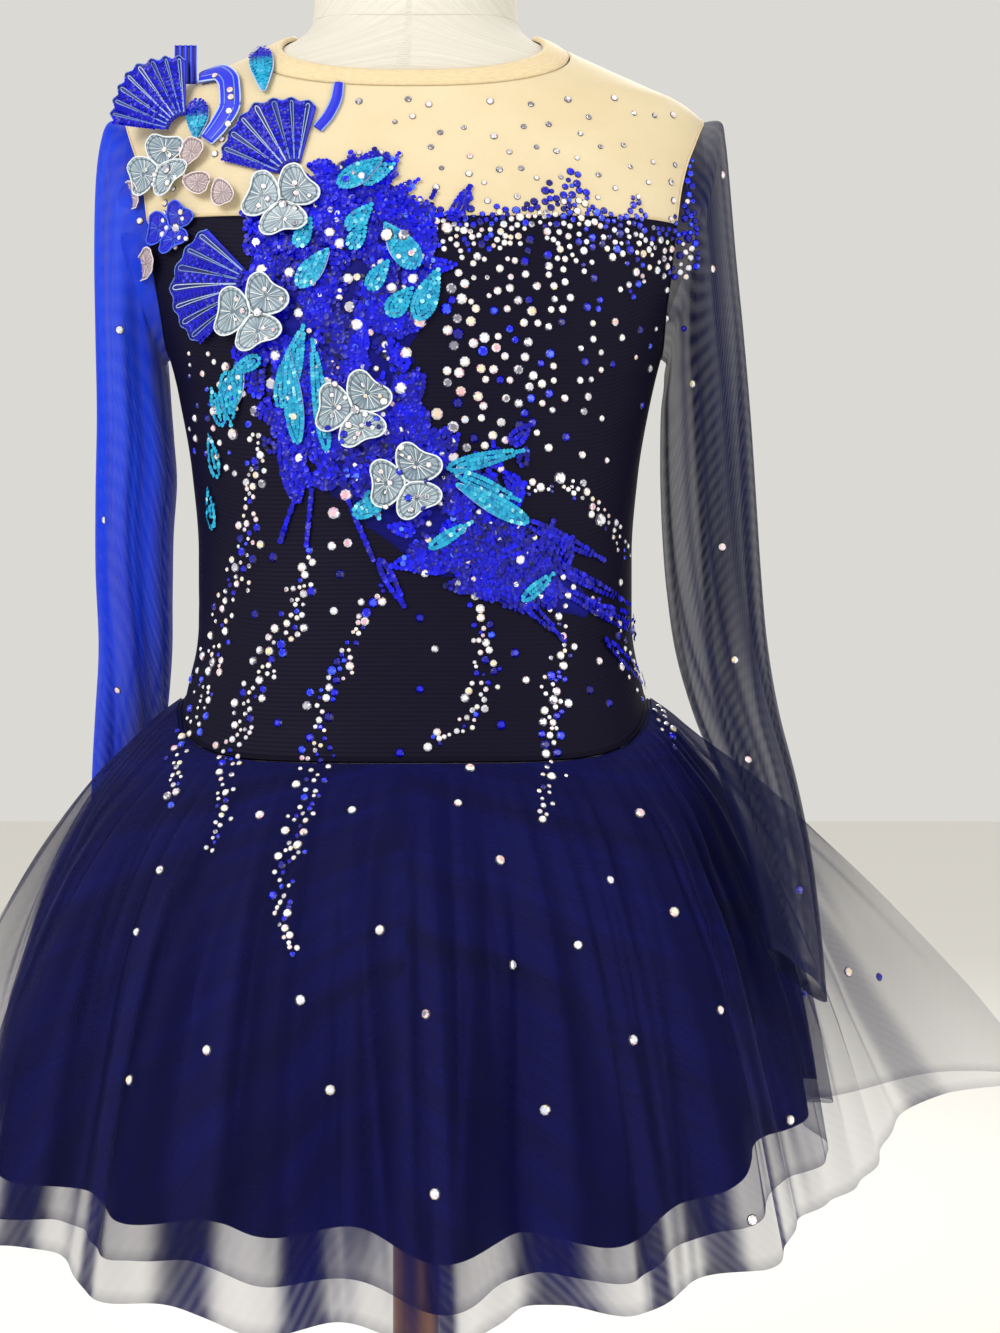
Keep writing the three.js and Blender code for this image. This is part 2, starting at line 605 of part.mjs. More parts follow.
// A point of a skirt layer's inside (wall 0) or outside, that far below the waist seam.
function skirtPoint(layer, u, drop, wall) {
  const seam = seamPoint(u, CLEARANCE);
  const level = new THREE.Vector3(Math.sin(u), -Math.cos(u), 0);
  const spacing = SEAM + TULLE + (8 * drop) / FULL_DROP;
  const squash = 1 - 0.1 * Math.cos(u) ** 2;
  const grown = Math.min(1, drop / 170) ** 1.2;
  let stand = layer.level * spacing + skirtFlare(drop) * squash + FLUTE_DEPTH * grown * fluteWave(u);
  DENTS.forEach(({ at, width, depth }) => {
    stand -= depth * Math.min(1, drop / 70) * bump(u, at, width);
  });
  if (layer.name === "tulle_top") {
    FLARES.forEach(({ at, width, reach }) => {
      stand += reach * (drop / layer.length) ** 1.1 * bump(u, at, width);
    });
  }
  return seam.addScaledVector(level, stand + wall).setZ(seam.z - SEAM - drop);
}

// The hem is uneven, hangs lower at the crests of the flutes, and a standing fold lifts it.
function hemDrop(layer, u) {
  const raised = ({ at, width, reach }) => 0.15 * reach * bump(u, at, width * 1.4);
  const lift = FLARES.reduce((total, flare) => total + raised(flare), 0);
  const uneven = 4 * Math.sin(5 * u + layer.level) + 4 * fluteWave(u);
  return layer.length - 14 * Math.sin(u) ** 2 + uneven - (layer.name === "tulle_top" ? lift : 0);
}

function buildSkirt(layer) {
  const ring = (i, wall) =>
    Array.from({ length: SKIRT_COLUMNS }, (_, j) => {
      const u = (2 * Math.PI * j) / SKIRT_COLUMNS;
      return skirtPoint(layer, u, RING_DROPS[i] ?? hemDrop(layer, u), wall);
    });
  const rows = RING_DROPS.length + 1;
  const rings = (wall) => Array.from({ length: rows }, (_, i) => ring(i, wall));
  addPiece(layer.name, wallBetween(rings(TULLE), rings(0), true), layer.level ? "navyTulle" : "navyKnit");
}

// How far from the form an applique's back lies: on the panel, or on the lace that lies on it.
const seatOut = (seat) => PANEL_FACE + SEAM + seat * (LACE_WALL + SEAM);

// A piece laid on the front: place(i, j) gives x, z and how far its face stands off its back.
function appliqueWall(rows, columns, seat, place, closed) {
  const grid = (pick) =>
    Array.from({ length: rows }, (_, i) =>
      Array.from({ length: columns }, (_, j) => {
        const { x, z, rise } = place(i, j);
        return overFront(x, z, seatOut(seat) + pick(rise));
      }),
    );
  return wallBetween(
    grid((rise) => rise),
    grid(() => 0),
    closed,
  );
}

function buildFlower({ name, x, z, radius, turn, seat, color = "silverLace" }) {
  const petals = 3;
  const columns = petals * PETAL_EDGE.length;
  const rings = [0.1, 0.56, 1];
  const rises = [2.4, 3.6, 1.6];
  const place = (i, j) => {
    const edge = PETAL_EDGE[j % PETAL_EDGE.length];
    const reach = radius * rings[i] * (1 - (1 - edge) * rings[i]);
    const from = (2 * Math.PI * j) / columns + degrees(turn);
    const rise = rises[i] * (0.3 + 0.7 * edge);
    return { x: x + reach * Math.cos(from), z: z + reach * Math.sin(from), rise };
  };
  addPiece(name, appliqueWall(rings.length, columns, seat, place, true), color);
}

// Ribs and pleats of a fan: two columns for each rib, a scalloped edge, the ribs raised.
function fanPlace({ inner, outer, from, to, ribs }, i, j) {
  const rows = 4;
  const columns = ribs * 2;
  const angle = degrees(from + ((to - from) * j) / columns);
  const rib = j % 2 === 0;
  const end = outer * (rib ? 0.94 : 1) * (1 - 0.12 * Math.abs((2 * j) / columns - 1));
  const reach = inner + ((end - inner) * i) / (rows - 1);
  const rise = APPLIQUE_WALL + (rib ? 1 : 0);
  return { across: reach * Math.cos(angle), up: reach * Math.sin(angle), reach, rise };
}

function buildFan(fan) {
  const place = (i, j) => {
    const { across, up, rise } = fanPlace(fan, i, j);
    return { x: fan.x + across, z: fan.z + up, rise };
  };
  addPiece(fan.name, appliqueWall(4, fan.ribs * 2 + 1, fan.seat, place, false), "royalSequin");
}

// The fan at the shoulder stands up in front of it, held at its root.
function buildShoulderFan() {
  const fan = SHOULDER_FAN;
  const grid = (pick) =>
    Array.from({ length: 4 }, (_, i) =>
      Array.from({ length: fan.ribs * 2 + 1 }, (_, j) => {
        const { across, up, reach, rise } = fanPlace(fan, i, j);
        return new THREE.Vector3(fan.x + across, fan.y + FAN_LEAN * reach - pick(rise), fan.z + up);
      }),
    );
  const geometry = wallBetween(
    grid((rise) => rise),
    grid(() => 0),
    false,
  );
  addPiece("fan_shoulder", geometry, "royalSequin");
}

// A ribbon along a row of spine points, flat on the front and crowned along its middle.
function ribbonWall(spine, seat, crown) {
  const across = [-1, 0, 1];
  const place = (i, j) => {
    const before = spine[Math.max(0, i - 1)];
    const after = spine[Math.min(spine.length - 1, i + 1)];
    const run = new THREE.Vector2(after.x - before.x, after.z - before.z).normalize();
    const side = across[j] * spine[i].half;
    return {
      x: spine[i].x - run.y * side,
      z: spine[i].z + run.x * side,
      rise: APPLIQUE_WALL + (across[j] === 0 ? crown : 0),
    };
  };
  return appliqueWall(spine.length, across.length, seat, place, false);
}

function leafSpine({ x0, z0, x1, z1, half, end }) {
  const steps = 6;
  return Array.from({ length: steps + 1 }, (_, i) => {
    const t = i / steps;
    const bulge = Math.sin(Math.PI * t ** 0.75);
    return { x: x0 + (x1 - x0) * t, z: z0 + (z1 - z0) * t, half: end + (half - end) * bulge };
  });
}

// The lace follows the facets of the panels below it: a shell moved out from them, cut to its outline.
function buildLaceSpray() {
  const steps = 22;
  const rows = LACE_SPRAY.map((row, step) => ({ ...row, step }));
  const [x, z, left, right] = ["x", "z", "left", "right"].map((column) => smoothColumn(rows, "step", column));
  const edge = (side) =>
    Array.from({ length: steps + 1 }, (_, i) => {
      const t = ((LACE_SPRAY.length - 1) * i) / steps;
      const run = new THREE.Vector2(x(t + 0.3) - x(t - 0.3), z(t + 0.3) - z(t - 0.3)).normalize();
      const reach = side * (side < 0 ? left(t) : right(t)) * (i % 2 ? 0.9 : 1);
      return [x(t) - run.y * reach, z(t) + run.x * reach];
    });
  const outline = [...edge(-1), ...edge(1).reverse()].map(([across, up]) => new THREE.Vector2(across, up));
  const blade = new THREE.ExtrudeGeometry(new THREE.Shape(outline), { depth: 120, bevelEnabled: false });
  const prism = toSolid(blade.rotateX(Math.PI / 2));
  const face = (out) => LEVEL_LINES.map((line) => panelRow(line, false, out, 0));
  const back = PANEL_FACE + SEAM;
  const shell = toSolid(wallBetween(face(back + LACE_WALL), face(back), false));
  addPiece("lace_spray", fromSolid(shell.intersect(prism)), "royalSequin");
}

function buildShoulderTab() {
  const { x, top, bottom, half, y, wall } = SHOULDER_TAB;
  const tab = new THREE.BoxGeometry(2 * half, wall, top - bottom);
  addPiece("shoulder_tab", tab, "royalSequin").position.set(x, y - wall / 2, (top + bottom) / 2);
}

buildForm();
buildStand();
buildBodice();
buildNeckBand();
buildNeckButton();
buildSleeve("sleeve_left", SLEEVE_LEFT, 1, "navyMesh");
buildSleeve("sleeve_right", SLEEVE_RIGHT, -1, "blueMesh");
SKIRT_LAYERS.forEach(buildSkirt);
buildLaceSpray();
FLOWERS.forEach(buildFlower);
FANS.forEach(buildFan);
buildShoulderFan();
LEAVES.forEach((leaf) => addPiece(leaf.name, ribbonWall(leafSpine(leaf), leaf.seat, 1), "tealSequin"));
addPiece("shoulder_drop", ribbonWall(leafSpine(SHOULDER_DROP), 1, 1.2), "tealSequin");
addPiece("shoulder_stem", ribbonWall(SHOULDER_STEM, 0, 0.8), "royalSequin");
addPiece("shoulder_loop", ribbonWall(SHOULDER_LOOP, 1, 1), "royalSequin");
buildShoulderTab();

export default part;
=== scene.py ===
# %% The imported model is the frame
import math
from collections import namedtuple

import bpy
import numpy as np
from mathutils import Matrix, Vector
from mathutils.bvhtree import BVHTree


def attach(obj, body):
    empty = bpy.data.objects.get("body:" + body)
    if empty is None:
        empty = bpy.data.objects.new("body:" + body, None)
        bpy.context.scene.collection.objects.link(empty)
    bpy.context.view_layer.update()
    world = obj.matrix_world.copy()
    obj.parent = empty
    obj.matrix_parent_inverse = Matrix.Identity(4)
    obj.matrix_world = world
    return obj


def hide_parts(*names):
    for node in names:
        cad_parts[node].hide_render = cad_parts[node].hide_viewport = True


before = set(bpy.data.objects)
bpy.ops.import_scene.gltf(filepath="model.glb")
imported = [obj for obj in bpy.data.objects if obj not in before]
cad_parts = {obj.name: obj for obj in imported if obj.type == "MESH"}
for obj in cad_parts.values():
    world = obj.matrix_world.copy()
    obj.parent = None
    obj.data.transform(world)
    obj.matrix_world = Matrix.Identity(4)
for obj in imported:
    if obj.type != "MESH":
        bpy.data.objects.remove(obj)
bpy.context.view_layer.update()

# %% [markdown]
# # A figure skating dress on a dress form
# The dress is worn by a limbless form on a stand. Its cloth is thin: a knit bodice, a nude mesh yoke,
# sheer mesh sleeves and a gathered tulle skirt. Such cloth could be simulated, but every piece here is
# fitted or gathered on a seam, so it is better worked out from the sizes of the cut. Each piece below
# is a grid of points in millimetres, laid on the same form as the solids, only finer.

# %% [markdown]
# ## The camera
# The real view is level with the waist, a little over a metre away, and slightly to the wearer's left.
# The lens is worked out from how many millimetres of the dress one pixel of a 1000 by 1333 frame covers.

# %% Camera at the angle of the view
PIXEL_MM = 0.57
FRAME_PX = (1000, 1333)
EYE = np.array([48.0, -1150.0, 626.0])
camera_data = bpy.data.cameras.new("view_camera")
camera_data.sensor_width = 36.0
camera_data.lens = 36.0 * -EYE[1] / (PIXEL_MM * FRAME_PX[1])
camera = bpy.data.objects.new("view_camera", camera_data)
camera.location = EYE / 1000
camera.rotation_euler = (math.radians(90), 0, 0)
bpy.context.scene.collection.objects.link(camera)
bpy.context.scene.camera = camera
print("lens", round(camera_data.lens, 1), "mm")


def sight_line(x, y):
    """The direction from the eye through a pixel of the frame."""
    across = (x - FRAME_PX[0] / 2) * PIXEL_MM
    up = (FRAME_PX[1] / 2 - y) * PIXEL_MM
    line = np.array([across, -EYE[1], up])
    return line / np.linalg.norm(line)


# %% [markdown]
# ## The form under the cloth
# A dress form is a stack of rounded sections. A superellipse gives each one its width, its front and
# back depths and how square its corners are, and smooth curves join them. All the fitted cloth is
# this surface moved outwards, so one function places the bodice, the yoke, the lace and the stones.

# %% Sections of the form, in millimetres
FORM_SECTIONS = [  # height, half width, front depth, back depth, corner power
    (1030, 42, 38, 41, 2), (1024, 53, 48, 51, 2), (1010, 57, 52, 55, 2), (990, 58.5, 53, 56, 2),
    (979, 66, 55, 60, 2.05), (970, 83, 57, 63, 2.1), (958, 109, 60, 66, 2.2), (946, 136, 63, 69, 2.25),
    (938, 153, 65, 71, 2.3), (929, 162, 67, 73, 2.3), (912, 164.5, 71, 76, 2.35), (880, 161, 79, 80, 2.4),
    (845, 151, 86, 82, 2.4), (815, 140, 89, 80, 2.35), (776, 130, 87, 76, 2.3), (735, 123, 84, 72, 2.25),
    (690, 119.5, 82, 71, 2.2), (650, 119.5, 82, 74, 2.2), (612, 126, 83, 82, 2.2), (575, 137, 86, 93, 2.2),
    (530, 146, 90, 100, 2.2), (480, 147, 90, 100, 2.2), (446, 140, 85, 94, 2.2), (440, 133, 80, 88, 2.2),
]
CLEARANCE = 2.0
CLOTH = 1.2
FACE = CLEARANCE + CLOTH
SEAM = 0.3


def smooth_column(keys, values):
    """A smooth curve through the rows of a table that doesn't swing past them."""
    order = np.argsort(keys)
    k = np.asarray(keys, float)[order]
    v = np.asarray(values, float)[order]
    slope = np.diff(v) / np.diff(k)
    tangent = np.concatenate([[slope[0]], np.zeros(len(v) - 2), [slope[-1]]])
    for i in range(1, len(v) - 1):
        a, b = slope[i - 1], slope[i]
        tangent[i] = 0 if a * b <= 0 else 2 * a * b / (a + b)

    def at(x):
        x = np.clip(x, k[0], k[-1])
        i = np.clip(np.searchsorted(k, x, side="right") - 1, 0, len(k) - 2)
        w = k[i + 1] - k[i]
        t = (x - k[i]) / w
        start = v[i] * (1 + 2 * t) * (1 - t) ** 2 + tangent[i] * w * t * (1 - t) ** 2
        end = v[i + 1] * t * t * (3 - 2 * t) + tangent[i + 1] * w * t * t * (t - 1)
        return start + end

    return at


columns = list(zip(*FORM_SECTIONS))
form_half, form_front, form_back, form_corner = (smooth_column(columns[0], columns[i]) for i in (1, 2, 3, 4))


def form_point(u, z):
    """A point of the form: u is 0 at centre front and a quarter turn at the wearer's left side."""
    u, z = np.broadcast_arrays(np.asarray(u, float), np.asarray(z, float))
    power = 2 / form_corner(z)
    depth = np.where(np.cos(u) >= 0, form_front(z), form_back(z))
    across = np.sign(np.sin(u)) * np.abs(np.sin(u)) ** power
    deep = np.sign(np.cos(u)) * np.abs(np.cos(u)) ** power
    return np.stack([form_half(z) * across, -depth * deep, z], -1)


def form_normal(u, z):
    across = form_point(u + 0.02, z) - form_point(u - 0.02, z)
    up = form_point(u, z + 1.5) - form_point(u, z - 1.5)
    normal = np.cross(across, up)
    return normal / np.linalg.norm(normal, axis=-1, keepdims=True)


def over_form(u, z, out):
    return form_point(u, z) + form_normal(u, z) * np.asarray(out, float)[..., None]


def over_front(x, z, out):
    """The place on the front that shows at (x, z) when seen from the front."""
    x, z = np.broadcast_arrays(np.asarray(x, float), np.asarray(z, float))
    share = np.minimum(0.999, np.abs(x) / form_half(z))
    u = np.sign(x) * np.arcsin(share ** (form_corner(z) / 2))
    return over_form(u, z, np.broadcast_to(out, x.shape))


print("form half width at the waist:", float(form_half(665.0)), "mm")

# %% [markdown]
# ## Making a mesh from a grid
# Cloth that is cut flat has two directions, across and along, so a grid of points suits it. Each
# point also keeps its place on the cloth in millimetres, which later gives every weave its scale.
# A wall joins two grids into a closed shell, and a sheet is a single skin for see-through cloth.

# %% Helpers for grids, walls and sheets
PIECES = {}


def finish_piece(name, points, faces, material, slot, replaces=(), smooth=True, values=None):
    """An object from points in millimetres; values holds numbers or vectors kept on its points."""
    mesh = bpy.data.meshes.new(name)
    mesh.from_pydata((np.asarray(points, float) / 1000).tolist(), [], faces)
    mesh.validate()
    mesh.polygons.foreach_set("use_smooth", [smooth] * len(mesh.polygons))
    for key, column in (values or {}).items():
        column = np.asarray(column, float)
        kind = "FLOAT" if column.ndim == 1 else "FLOAT_VECTOR"
        layer = mesh.attributes.new(key, kind, "POINT")
        layer.data.foreach_set("value" if column.ndim == 1 else "vector", column.ravel())
    mesh.materials.append(material)
    piece = bpy.data.objects.new(name, mesh)
    bpy.context.scene.collection.objects.link(piece)
    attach(piece, "root")
    if replaces:
        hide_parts(*replaces)
    PIECES[name] = piece
    return piece


def grid_faces(rows, count, closed=False, start=0, flip=False):
    span = count if closed else count - 1
    i, j = np.meshgrid(np.arange(rows - 1), np.arange(span), indexing="ij")
    k = (j + 1) % count
    quads = np.stack([i * count + j, i * count + k, (i + 1) * count + k, (i + 1) * count + j], -1)
    quads = quads.reshape(-1, 4) + start
    return (quads[:, ::-1] if flip else quads).tolist()


def cloth_mm(grid):
    """How far each point lies across and along its cloth, in millimetres."""
    across = np.zeros(grid.shape[:2])
    along = np.zeros(grid.shape[:2])
    across[:, 1:] = np.cumsum(np.linalg.norm(np.diff(grid, axis=1), axis=-1), axis=1)
    across -= across[:, across.shape[1] // 2][:, None]
    along[1:] = np.cumsum(np.linalg.norm(np.diff(grid, axis=0), axis=-1), axis=0)
    return np.stack([across, along, np.zeros_like(across)], -1)


def sheet_piece(name, grid, material, values=None, **rest):
    """A single skin over a grid of points."""
    values = {key: np.asarray(v).reshape(-1) for key, v in (values or {}).items()}
    values["cloth"] = cloth_mm(grid).reshape(-1, 3)
    faces = grid_faces(*grid.shape[:2])
    return finish_piece(name, grid.reshape(-1, 3), faces, material, values=values, **rest)


def wall_piece(name, outer, inner, material, slit=None, tint=None, **rest):
    """A closed shell between two grids. slit is the column left open and the row that it starts at."""
    rows, count = outer.shape[:2]
    half = rows * count
    last_row = half - count

    def side(a, b):
        return [a, b, b + half, a + half]

    faces = grid_faces(rows, count) + grid_faces(rows, count, start=half, flip=True)
    for j in range(count - 1):
        faces += [side(j + 1, j), side(last_row + j, last_row + j + 1)]
    for a in range(0, last_row, count):
        faces += [side(a, a + count), side(a + 2 * count - 1, a + count - 1)]
    if slit:
        j, first = slit
        in_slit = [(v % half) % count in (j, j + 1) and (v % half) // count >= first for v in range(2 * half)]
        faces = [face for face in faces if not all(in_slit[v] for v in face)]
        for a in range(first * count + j, last_row + j, count):
            faces += [side(a + count, a), side(a + 1, a + count + 1)]
        faces.append(side(first * count + j, first * count + j + 1))
    points = np.concatenate([outer.reshape(-1, 3), inner.reshape(-1, 3)])
    values = {"cloth": np.concatenate([cloth_mm(outer).reshape(-1, 3), cloth_mm(inner).reshape(-1, 3)])}
    if tint is not None:
        values["tint"] = np.concatenate([np.broadcast_to(tint, (rows, count)).ravel()] * 2)
    return finish_piece(name, points, faces, material, values=values, **rest)


def area_m2(piece):
    return sum(face.area for face in piece.data.polygons)


# %% [markdown]
# ## Colours and finishes
# A maker names a finish by what it is: linen, knit, net, sequin film, cut glass. Colours are written
# as sRGB hex values and turned to linear once. One helper adds a node with its settings and links,
# so each finish reads as a short recipe. Weave scales come from real thread spacing; where that is
# finer than a pixel of the view it is drawn a little coarser, as the comments say.

# %% The helper for nodes, and colours
def linear(colour):
    channel = [int(colour[i : i + 2], 16) / 255 for i in (1, 3, 5)]
    return tuple(c / 12.92 if c <= 0.04045 else ((c + 0.055) / 1.055) ** 2.4 for c in channel) + (1.0,)


def add_node(tree, kind, inputs=None, **settings):
    made = tree.nodes.new(kind)
    for key, value in settings.items():
        setattr(made, key, value)
    for key, value in (inputs or {}).items():
        if isinstance(value, bpy.types.NodeSocket):
            tree.links.new(value, made.inputs[key])
        else:
            made.inputs[key].default_value = value
    return made


def new_finish(name, **constants):
    """A material with one Principled shader; its constants go straight on the sockets."""
    material = bpy.data.materials.new(name)
    material.use_nodes = True
    tree = material.node_tree
    shader = tree.nodes["Principled BSDF"]
    for key, value in constants.items():
        shader.inputs[key.replace("_", " ")].default_value = value
    return material, tree, shader


def colour_between(tree, shader, factor, dark, light):
    """The colour goes from dark to light with the factor; in some finishes that factor also paints shade and
    sheen.
    """
    blend = add_node(tree, "ShaderNodeMix", {"Factor": factor}, data_type="RGBA")
    blend.inputs["A"].default_value = linear(dark)
    blend.inputs["B"].default_value = linear(light)
    tree.links.new(blend.outputs["Result"], shader.inputs["Base Color"])


def raised(tree, shader, height, millimetres, strength, normal=None):
    inputs = {"Height": height, "Strength": strength, "Distance": millimetres / 1000}
    if normal is not None:
        inputs["Normal"] = normal
    bump = add_node(tree, "ShaderNodeBump", inputs)
    tree.links.new(bump.outputs["Normal"], shader.inputs["Normal"])
    return bump.outputs["Normal"]


def cloth_place(tree, across=1.0, along=1.0):
    """The point's place on its cloth, in millimetres, scaled each way."""
    place = add_node(tree, "ShaderNodeAttribute", attribute_name="cloth")
    scaled = add_node(tree, "ShaderNodeVectorMath", {0: place.outputs["Vector"]}, operation="MULTIPLY")
    scaled.inputs[1].default_value = (across, along, 0)
    return scaled.outputs["Vector"]


def threads(tree, spacing, direction):
    """Parallel threads a given number of millimetres apart, as a height from 0 to 1."""
    # A Wave texture repeats every 2 pi / 20 units of its scaled place.
    scale = 2 * math.pi / 20 / spacing
    place = cloth_place(tree, scale, scale)
    return add_node(tree, "ShaderNodeTexWave", {"Vector": place, "Scale": 1.0}, bands_direction=direction)


# %% [markdown]
# ### Linen of the dress form
# The form's cover is a plain weave in unbleached linen, glued smooth. The weave is about 0.8 mm; it is
# drawn at 1.4 mm so that it just shows. Slubs and slight yellowing keep it from looking like plaster.

# %% Linen, wood and steel
linen, tree, shader = new_finish("unbleached_linen_plain_weave", Roughness=0.86, Sheen_Weight=0.15)
warp, weft = threads(tree, 1.4, "X"), threads(tree, 1.4, "Y")
weave = add_node(
    tree, "ShaderNodeMath", {0: warp.outputs["Fac"], 1: weft.outputs["Fac"]}, operation="MULTIPLY"
)
slubs = add_node(
    tree, "ShaderNodeTexNoise", {"Vector": cloth_place(tree, 0.03, 0.4), "Scale": 1.0, "Detail": 4.0}
)
colour_between(tree, shader, slubs.outputs["Fac"], "#c9c3b4", "#e9e5da")
raised(tree, shader, weave.outputs["Value"], 0.25, 0.5)

beech, tree, shader = new_finish(
    "varnished_beech_turned", Roughness=0.38, Coat_Weight=0.35, Coat_Roughness=0.18
)
where = add_node(tree, "ShaderNodeTexCoord")
stretch = add_node(tree, "ShaderNodeMapping", {"Vector": where.outputs["Object"], "Scale": (60, 60, 5)})
grain = add_node(
    tree, "ShaderNodeTexNoise", {"Vector": stretch.outputs["Vector"], "Scale": 1.0, "Detail": 5.0}
)
pores = add_node(
    tree, "ShaderNodeTexNoise", {"Vector": stretch.outputs["Vector"], "Scale": 9.0, "Detail": 2.0}
)
colour_between(tree, shader, grain.outputs["Fac"], "#6f4119", "#b67c41")
raised(tree, shader, pores.outputs["Fac"], 0.2, 0.4)

steel, tree, shader = new_finish("brushed_steel_turned", Metallic=1.0)
where = add_node(tree, "ShaderNodeTexCoord")
rings = add_node(tree, "ShaderNodeMapping", {"Vector": where.outputs["Object"], "Scale": (3, 3, 900)})
brush = add_node(tree, "ShaderNodeTexNoise", {"Vector": rings.outputs["Vector"], "Scale": 1.0, "Detail": 3.0})
colour_between(tree, shader, brush.outputs["Fac"], "#7f8185", "#b4b6ba")
rough = add_node(tree, "ShaderNodeMapRange", {"Value": brush.outputs["Fac"], "To Min": 0.26, "To Max": 0.44})
tree.links.new(rough.outputs["Result"], shader.inputs["Roughness"])
print("stand and form finishes:", [m.name for m in (linen, beech, steel)])

# %% [markdown]
# ### Knit of the bodice
# The bodice is a nylon and elastane knit in a navy that is nearly black, with fine ribs running round the
# body. Stretched over the form it has a soft sheen on its crests, which is painted into its colour: the rib
# crests are drawn lighter than the troughs, over a cloudy tone. The ribs are 2.4 mm apart.

# %% Knits and satin
knit, tree, shader = new_finish(
    "navy_ribbed_stretch_knit", Roughness=0.66, Specular_IOR_Level=0.14, Sheen_Weight=0.02,
    Sheen_Tint=linear("#3a3f8f")
)
ribs = threads(tree, 2.4, "Y")
wale = threads(tree, 1.2, "X")
cloudy = add_node(
    tree, "ShaderNodeTexNoise", {"Vector": cloth_place(tree, 0.02, 0.05), "Scale": 1.0, "Detail": 3.0}
)
# Painted sheen: the colour is lighter on each rib crest, scaled by the cloudy tone.
rib_sheen_share = add_node(tree, "ShaderNodeMath", {0: ribs.outputs["Fac"], 1: 0.45}, operation="MULTIPLY")
tone = add_node(
    tree, "ShaderNodeMath", {0: rib_sheen_share.outputs["Value"], 1: cloudy.outputs["Fac"]}, operation="MULTIPLY"
)
colour_between(tree, shader, tone.outputs["Value"], "#040216", "#100735")
fine = raised(tree, shader, wale.outputs["Fac"], 0.1, 0.2)
raised(tree, shader, ribs.outputs["Fac"], 0.35, 0.5, normal=fine)

satin, tree, shader = new_finish("navy_skirt_knit", Roughness=0.7, Specular_IOR_Level=0.2)
cloudy = add_node(
    tree, "ShaderNodeTexNoise", {"Vector": cloth_place(tree, 0.015, 0.015), "Scale": 1.0, "Detail": 3.0}
)
colour_between(tree, shader, cloudy.outputs["Fac"], "#010118", "#04053c")
ribs = threads(tree, 2.4, "Y")
raised(tree, shader, ribs.outputs["Fac"], 0.25, 0.3)

# %% [markdown]
# ### Nude mesh
# The yoke is stretch mesh dyed to the skin, so fine that it reads as a tinted film over the form. Its holes
# are 0.7 mm; they are drawn at 1.5 mm as a slight dimpling. The binding of the neck is the same mesh folded
# four times, so it is darker and shows its stitching; its colour is also painted darker in the troughs of its
# folds, as painted shade.

# %% Nude mesh, single and folded
nude, tree, shader = new_finish("nude_stretch_mesh", Roughness=0.6, Sheen_Weight=0.3, Sheen_Roughness=0.35)
shader.inputs["Alpha"].default_value = 0.86
holes = add_node(tree, "ShaderNodeTexVoronoi", {"Vector": cloth_place(tree, 0.66, 0.66), "Scale": 1.0})
tint = add_node(
    tree, "ShaderNodeTexNoise", {"Vector": cloth_place(tree, 0.012, 0.02), "Scale": 1.0, "Detail": 3.0}
)
colour_between(tree, shader, tint.outputs["Fac"], "#dcc79c", "#f1e3c0")
raised(tree, shader, holes.outputs["Distance"], 0.2, 0.35)

binding, tree, shader = new_finish("folded_nude_mesh_binding", Roughness=0.66, Sheen_Weight=0.25)
folds_and_shade = add_node(
    tree, "ShaderNodeTexNoise", {"Vector": cloth_place(tree, 0.25, 0.9), "Scale": 1.0, "Detail": 3.0}
)
# Painted shade: the colour follows the folds' height, darker in their troughs.
colour_between(tree, shader, folds_and_shade.outputs["Fac"], "#cdb588", "#ead8b0")
raised(tree, shader, folds_and_shade.outputs["Fac"], 0.4, 0.5)


# %% [markdown]
# ### Sheer mesh and tulle
# A net hides what is behind it in proportion to its threads, so each skin gets a share of cover, and
# two skins that lie over each other look denser, as they really do. Gathers and folded-over edges
# hold more net; that extra cover is worked out with the shape and kept on the points as "cover".
# The net's holes are under 1 mm, far finer than a pixel, so they are given by the share alone, with
# faint moire bands where two nets cross.

# %% Nets
def net_finish(name, dark, light, moire_mm, sheen, roughness=0.75, run="DIAGONAL", moire=(0.9, 1.14)):
    material, tree, shader = new_finish(
        name, Roughness=roughness, Specular_IOR_Level=0.15, Sheen_Weight=0.06, Sheen_Tint=linear(sheen)
    )
    cover = add_node(tree, "ShaderNodeAttribute", attribute_name="cover")
    bands = threads(tree, moire_mm, run)
    noise = add_node(
        tree, "ShaderNodeTexNoise", {"Vector": cloth_place(tree, 0.03, 0.006), "Scale": 1.0, "Detail": 3.0}
    )
    uneven = add_node(
        tree, "ShaderNodeMath", {0: bands.outputs["Fac"], 1: noise.outputs["Fac"]}, operation="MULTIPLY"
    )
    swing = add_node(
        tree, "ShaderNodeMapRange", {"Value": uneven.outputs["Value"], "To Min": moire[0], "To Max": moire[1]}
    )
    share = add_node(
        tree, "ShaderNodeMath", {0: cover.outputs["Fac"], 1: swing.outputs["Result"]}, operation="MULTIPLY"
    )
    share.use_clamp = True
    tree.links.new(share.outputs["Value"], shader.inputs["Alpha"])
    colour_between(tree, shader, noise.outputs["Fac"], dark, light)
    return material


navy_tulle = net_finish("navy_nylon_tulle", "#010014", "#060a58", 7.0, "#2a3cc0", run="X", moire=(0.96, 1.05))
royal_mesh = net_finish("royal_blue_sheer_mesh", "#010cb0", "#0448ee", 6.0, "#5a8cff", 0.6)
navy_mesh = net_finish("navy_sheer_mesh", "#02031c", "#0a1244", 4.0, "#5a64b0", 0.6)
print("nets:", navy_tulle.name, royal_mesh.name, navy_mesh.name)
